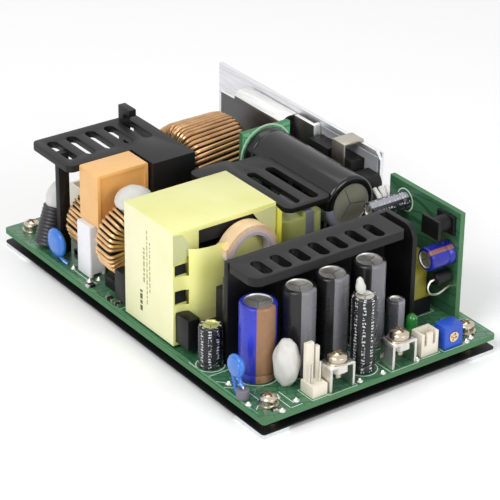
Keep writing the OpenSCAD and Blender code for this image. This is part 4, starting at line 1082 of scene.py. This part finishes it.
def island_boxes(node):
    """The box of each separate solid in a CAD node, from the front to the rear."""
    boxes = []
    bm = welded(node)
    left_over = set(bm.verts)
    while left_over:
        island, grow = set(), [left_over.pop()]
        while grow:
            v = grow.pop()
            island.add(v)
            near = [e.other_vert(v) for e in v.link_edges]
            grow += [n for n in near if n in left_over]
            left_over -= set(near)
        points = [v.co.copy() for v in island]
        boxes.append(tuple(Vector([f(p[i] for p in points) for i in range(3)]) for f in (min, max)))
    bm.free()
    return sorted(boxes, key=lambda box: box[0].y)


*front_boxes, by_choke, by_limiter = island_boxes("sealant_drops")
by_filter, by_header = sorted(front_boxes, key=lambda box: -box[0].x)
bm = bmesh.new()
lump(bm, *by_header, 1, taper=-0.12, rough_mm=0.3, flat=0.96)
lump(bm, *by_filter, 2, taper=0.45, lean=-0.6 * MM, flat=0.85)
lump(bm, *by_limiter, 3, lean=0.9 * MM, taper=0.12)
wider = Vector((0.6 * MM, 0.6 * MM, 0))
lump(bm, by_choke[0] - wider, by_choke[1] + wider, 4, rough_mm=0.5, flat=0.3)
choke_middle = (by_choke[0] + by_choke[1]) / 2
for i, (dx, dy, size) in enumerate(((-3.2, -3.4, 1.8), (2.8, -3.6, 1.6), (3.4, 3.0, 1.7))):
    spot = Vector((choke_middle.x + dx * MM, choke_middle.y + dy * MM, by_choke[0].z - 0.4 * MM))
    reach = Vector((size, size * 0.7, size * 1.3)) * MM
    lump(bm, spot - reach, spot + reach, 5 + i, flat=0.9)
piece(bm, "sealant_lumps", [SEALANT], ("sealant_drops",), crease=180)
print("discs and sealant made")

# %% [markdown]
# ## Sleeved limiter and transistor cap
# The inrush limiter stands in a corrugated sleeve that leans against its neighbours. The sleeve is a spun
# outline with one soft ring after another, set on a leaning axis.

# %% Sleeved limiter
LEAN = math.radians(13)
low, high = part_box("inrush_limiter")
foot_r, top_r, sleeve_h = 4.0, 3.05, 11.6
foot = Vector((low.x + foot_r * math.cos(LEAN) * MM, (low.y + high.y) / 2,
               low.z + (foot_r * math.sin(LEAN) + 0.1) * MM))
outline = [(0, 0), (foot_r - 0.5, 0)]
for i in range(11):
    r = foot_r + (top_r - foot_r) * i / 11
    z = sleeve_h * i / 11
    outline += [(r - 0.3, z + 0.06), (r - 0.04, z + 0.3), (r, z + 0.52), (r - 0.04, z + 0.75),
                (r - 0.3, z + 1.0)]
outline += [(top_r - 0.5, sleeve_h), (0, sleeve_h)]
bm = bmesh.new()
lathe(bm, outline, 40, foot, Matrix.Rotation(LEAN, 4, "Y"))
for s in (-1, 1):
    leg = Vector((foot.x, foot.y + s * 2 * MM, board_top))
    tube(bm, [leg, leg + Vector((0, 0, 2 * MM))], 0.4, 8)
piece(bm, "limiter_sleeve", [SLEEVE_BLACK_SHEEN], ("inrush_limiter",), crease=60)
softened("insulating_cap", [PACKAGE_BLACK], 0.5, 3)
print("limiter and cap made")

# %% [markdown]
# ## Small transformers, drum coil and diode
# The small transformers are bobbins in black moulding with a taped winding and a grey core. One CAD node
# holds all three, so the paint is chosen by where a face lies. The diode is a spun body with a bent lead.

# %% Small transformers
TAPE_GREEN = tape("tape_green", srgb(156, 160, 90), srgb(190, 194, 124))
drive_low, drive_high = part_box("drive_transformer")
drive_middle = (drive_low + drive_high) / 2


def drive_paint(centre, normal):
    """Moulding at the foot, grey core across the middle, tape elsewhere."""
    if centre.z < board_top + 3.9 * MM:
        return 1
    in_core = abs(centre.x - drive_middle.x - 1.6 * MM) < 1.6 * MM
    outside = centre.z > drive_high.z - 1.7 * MM or abs(centre.y - drive_middle.y) > 6 * MM
    return 2 if in_core and outside else 0


softened("drive_transformer", [TAPE_GREEN, BLACK_MOULD, FERRITE_GREY], 0.4, 3, drive_paint)
softened("aux_transformer", [TAPE_OLIVE, BLACK_MOULD], 0.5, 3,
         lambda centre, normal: 1 if centre.z < board_top + 4.9 * MM else 0)
softened("control_coil", [BLACK_MOULD], 0.25, 3)

# %% Diode
low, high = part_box("control_diode")
axis_y = (low.y + high.y) / 2
axis_z = high.z - 1.8 * MM
body_end = high.x - 0.5 * MM
bm = bmesh.new()
outline = [(0, 0), (1.5, 0), (1.8, 0.3), (1.8, 4.7), (1.5, 5.0), (0, 5.0)]
lathe(bm, outline, 32, (body_end, axis_y, axis_z), TO_LEFT, lambda r, z: 1 if 3.7 < z < 4.5 else 0)
bend = ((-4.8, 0, 0), (-6.6, 0, -0.6), (-7.2, -0.4, -2.6), (-5.2, -0.6, -4.2))
lead = [Vector((body_end + x * MM, axis_y + y * MM, axis_z + z * MM)) for x, y, z in bend]
tube(bm, lead + [Vector((high.x, axis_y, axis_z - 3.6 * MM))], 0.34, 10, 2)
tube(bm, [Vector((body_end - 0.2 * MM, axis_y, axis_z)), Vector((high.x, axis_y, axis_z))], 0.4, 10, 2)
piece(bm, "diode_and_leads", [PACKAGE_BLACK, STRIPE_BAND, TINNED], ("control_diode",))
print("small transformers and diode made")

# %% [markdown]
# ## Status light, film and leads
# The light is a dome of tinted resin over a thin flange. The film on the wall is nearly clear. The white
# leads rise beside the transistor cap and lean back over the board, so each is a curve.

# %% Status light
RESIN = Finish("lens_green", 0.12)
RESIN.colour(RESIN.ramp(RESIN.noise(300, 2), [(0.3, srgb(44, 150, 62)), (0.7, srgb(70, 184, 84))]))
RESIN.set("Transmission Weight", 0.35).set("IOR", 1.5).set("Coat Weight", 0.4)
low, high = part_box("status_led")
centre = (low + high) / 2
outline = [(0, 1.5), (1.95, 1.5), (1.95, 2.3), (1.6, 2.3)] + arc((0, 5.8), 1.6, 0, 90, 8)
bm = bmesh.new()
lathe(bm, outline, 40, (centre.x, centre.y, board_top))
for s in (-1, 1):
    x = centre.x + s * 0.9 * MM
    block(bm, (x - 0.25 * MM, centre.y - 0.25 * MM, board_top),
          (x + 0.25 * MM, centre.y + 0.25 * MM, board_top + 1.6 * MM), index=1)
piece(bm, "status_light", [RESIN.material, TINNED], ("status_led",))
print("status light made")

# %% Wall film
FILM_CLEAR = Finish("film_clear", 0.15)
haze = [(0.3, srgb(196, 198, 206)), (0.7, srgb(228, 229, 234))]
FILM_CLEAR.colour(FILM_CLEAR.ramp(FILM_CLEAR.noise(90, 3), haze))
FILM_CLEAR.set("Transmission Weight", 0.55).set("IOR", 1.35)
softened("wall_film", [FILM_CLEAR.material], 0.05, 1)
print("wall film made")

# %% White leads
low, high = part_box("white_leads")
bm = bmesh.new()
for i in range(3):
    x = high.x - (0.75 + 1.7 * i) * MM
    base = Vector((x - 0.4 * MM * i, high.y - 0.75 * MM, board_top))
    rise = (high.z - board_top) / MM - 0.6
    bend = ((0, 0, 0), (0, -0.8, 8), (-0.3, -2.6 - 0.5 * i, 17), (0.2, -3.4 - 0.6 * i, 23.5), (0.6, -1, rise))
    tube(bm, [base + Vector(point) * MM for point in bend], 0.72, 12)
piece(bm, "leads_in_white", [WIRE_WHITE], ("white_leads",))
print("all nodes dressed")

# %% [markdown]
# ## The board's small life
# Between the big parts a board is never empty. Printed rings and outlines show where each part goes, tracks
# run under the mask, joints shine where legs come through, and chip parts sit in rows. None of these change
# the CAD solids: they are thin pieces laid on the board. Rings and outlines are placed by the boxes of the
# parts that they belong to.

# %% Printed lines and rings
TRACK_LIGHT = plastic("track_light", srgb(116, 176, 128), 0.35, drift=0.05)
TRACK_DARK = plastic("track_dark", srgb(30, 92, 54), 0.35, drift=0.05)


def line(bm, points, width_mm, height_mm=0.03, index=0):
    """A thin raised line along points (x, y) in mm on the board."""
    for (x0, y0), (x1, y1) in zip(points, points[1:]):
        length = math.hypot(x1 - x0, y1 - y0)
        bar = block(bm, (-width_mm / 2 * MM, -width_mm / 2 * MM, 0),
                    ((length + width_mm / 2) * MM, width_mm / 2 * MM, height_mm * MM), index=index)
        turn = Matrix.Rotation(math.atan2(y1 - y0, x1 - x0), 4, "Z")
        place = Matrix.Translation((x0 * MM, y0 * MM, board_top)) @ turn
        bmesh.ops.transform(bm, matrix=place, verts=corners_of(bar))


def ring(bm, at, radius_mm, width_mm=0.3, height_mm=0.03, turn=None):
    """A thin raised ring, flat on the board unless turn faces it another way."""
    inner = radius_mm - width_mm
    outline = [(inner, 0), (radius_mm, 0), (radius_mm, height_mm), (inner, height_mm), (inner, 0)]
    lathe(bm, outline, 48, at, turn)


bm = bmesh.new()
ROUND_PARTS = ("output_capacitor_1", "output_capacitor_2", "output_capacitor_3", "output_capacitor_blue",
               "filter_capacitor", "small_capacitor", "bias_capacitor", "status_led")
for node in ROUND_PARTS:
    low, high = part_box(node)
    spot = middle(node)
    ring(bm, (spot.x, spot.y, board_top), (high.x - low.x) / 2 / MM + 0.75)
bulk, control = middle("bulk_capacitor"), middle("control_capacitor")
bulk_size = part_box("bulk_capacitor")[1].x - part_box("bulk_capacitor")[0].x
control_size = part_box("control_capacitor")[1].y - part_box("control_capacitor")[0].y
ring(bm, (bulk.x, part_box("riser_board")[0].y, bulk.z), bulk_size / 2 / MM + 1.0, 0.5, turn=TO_FRONT)
ring(bm, (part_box("control_board")[0].x, control.y, control.z), control_size / 2 / MM + 0.9, 0.4, turn=TO_LEFT)
SQUARE_PARTS = {"sense_header": 0.5, "fan_header": 0.5, "output_terminal_left": 0.6,
                "output_terminal_right": 0.6, "trimmer_body": 0.5, "aux_transformer": 0.7,
                "boost_choke": 0.8, "input_connector": 0.6}
BOARD_END = -63.2
for node, grow in SQUARE_PARTS.items():
    low, high = (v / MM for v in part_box(node))
    x_low, x_high = low.x - grow, high.x + grow
    y_low, y_high = max(low.y - grow, BOARD_END), high.y + grow
    line(bm, [(x_low, y_low), (x_high, y_low), (x_high, y_high), (x_low, y_high), (x_low, y_low)], 0.18)
LOOSE_LINES = (
    [(-36.9, -41.5), (-33.2, -45.5), (-33.2, -55.4), (-36.4, -58.2)], [(-36.9, -45.0), (-34.6, -47.0)],
    [(-30.6, -54.6), (-28.8, -55.6), (-28.8, -62.4), (-25.2, -62.4)], [(-26.8, -54.6), (-26.8, -60.8)],
    [(-35.2, 20.4), (-35.2, 31.4), (-33.6, 32.8)], [(-37.0, 4.2), (-31.2, 4.2), (-31.2, 8.0)],
    [(-3.0, 20.4), (2.4, 20.4), (2.4, 26.4)], [(-37.2, -29.6), (-37.2, -38.4), (-30.6, -38.4)])
for points in LOOSE_LINES:
    line(bm, points, 0.2)
piece(bm, "printed_lines", [SILK_WHITE], crease=20)
print("printed lines laid")

# %% Tracks
CROWDED_SPOTS = ((-36.5, -40), (-34, -57), (-20, -58), (5, -62), (28, -56), (24, 58), (-34, 8), (2, 24),
                 (-20, 56))
bm = bmesh.new()
rng = random.Random(11)
for x, y0, y1 in ((-37.5, -57, 52), (-36.9, -30, 6), (-36.9, 16, 50), (-37.2, -60, -34), (37.2, -60, -18)):
    line(bm, [(x, y0), (x, y1)], 0.26, 0.035, 0)
for i in range(34):
    x, y = rng.choice(CROWDED_SPOTS)
    x, y = x + rng.uniform(-2.5, 6), y + rng.uniform(-2, 8)
    dx, dy = rng.choice(((3, 0), (0, 4), (2, 2), (-2, 3)))
    path = [(x, y), (x + dx, y + dy), (x + dx + rng.uniform(0, 2), y + dy)]
    if all(abs(px) < 37.6 and -63 < py < 63 for px, py in path):
        line(bm, path, rng.choice((0.22, 0.3, 0.45)), 0.02, rng.choice((0, 0, 1)))
piece(bm, "board_tracks", [TRACK_LIGHT, TRACK_DARK], crease=20)
print("tracks laid")


# %% Chips
def chip(bm, x, y, size, along="X"):
    """A chip part: a dark body between two tinned ends, sizes in mm."""
    l, w, h = size
    end = 0.22 * l
    inner = (l / 2 - end) * MM
    faces = block(bm, (-inner, -w / 2 * MM, 0), (inner, w / 2 * MM, h * MM), 0.04, 1, 0)
    for s in (-1, 1):
        a, b = sorted((s * l / 2, s * (l / 2 - end)))
        faces |= block(bm, (a * MM, -w / 2 * MM, 0), (b * MM, w / 2 * MM, (h + 0.03) * MM), 0.04, 1, 1)
    spin = Matrix.Rotation(math.pi / 2 if along == "Y" else 0, 4, "Z")
    place = Matrix.Translation((x * MM, y * MM, board_top))
    bmesh.ops.transform(bm, matrix=place @ spin, verts=corners_of(faces))


CHIP_SIZES = ((2.0, 1.25, 0.6), (1.6, 0.8, 0.45), (3.2, 1.6, 0.7))
CHIP_SPOTS = (
    (-36.0, 6.4, "Y"), (-34.2, 7.2, "X"), (-35.9, 10.0, "Y"), (-33.4, 4.9, "X"), (-36.2, 19.4, "X"),
    (27.6, -55.2, "X"), (24.2, -53.4, "Y"), (29.8, -57.4, "Y"), (32.4, -60.2, "X"), (22.0, -54.8, "Y"),
    (-33.0, -60.8, "Y"), (2.6, 22.6, "X"), (-0.4, 24.6, "Y"), (-22, 57, "X"), (-18, 53, "Y"),
    (8, 58, "X"), (16, 60, "Y"))
bm = bmesh.new()
rng = random.Random(21)
for x, y, along in CHIP_SPOTS:
    chip(bm, x, y, rng.choice(CHIP_SIZES), along)
piece(bm, "chip_parts", [PACKAGE_BLACK, TINNED])
print("chips:", len(CHIP_SPOTS))

# %% Joints and nuts
JOINT_SPOTS = (
    (-35.0, 22.2), (-32.4, 21.6), (-34.6, 31.2), (-30.2, 7.8), (-33.8, 1.8), (-28.6, -56.2), (-25.6, -60.2),
    (-31.4, -62.2), (-9.4, -55.2), (1.9, -55.0), (12.2, -61.8), (20.6, -59.4), (28.9, -62.0), (26.6, -54.8),
    (30.6, -54.6), (-36.6, -55.0), (-34.8, -44.0), (31.2, -61.0), (-6.6, -61.8), (0.8, -62.0))
joint_outline = [(1.0, 0), (0.95, 0.1), (0.7, 0.25), (0.4, 0.55), (0.25, 0.8), (0, 0.85)]
nut_outline = [(1.6, 4.6), (2.7, 4.6), (2.9, 4.8), (2.9, 6.4), (2.7, 6.6), (1.6, 6.6)]
bm = bmesh.new()
for x, y in JOINT_SPOTS:
    lathe(bm, joint_outline, 20, (x * MM, y * MM, board_top))
for x in (-12.9, 7.25):
    lathe(bm, nut_outline, 6, (x * MM, -60.3 * MM, board_top))
piece(bm, "joints_and_nuts", [TINNED])
print("joints:", len(JOINT_SPOTS))
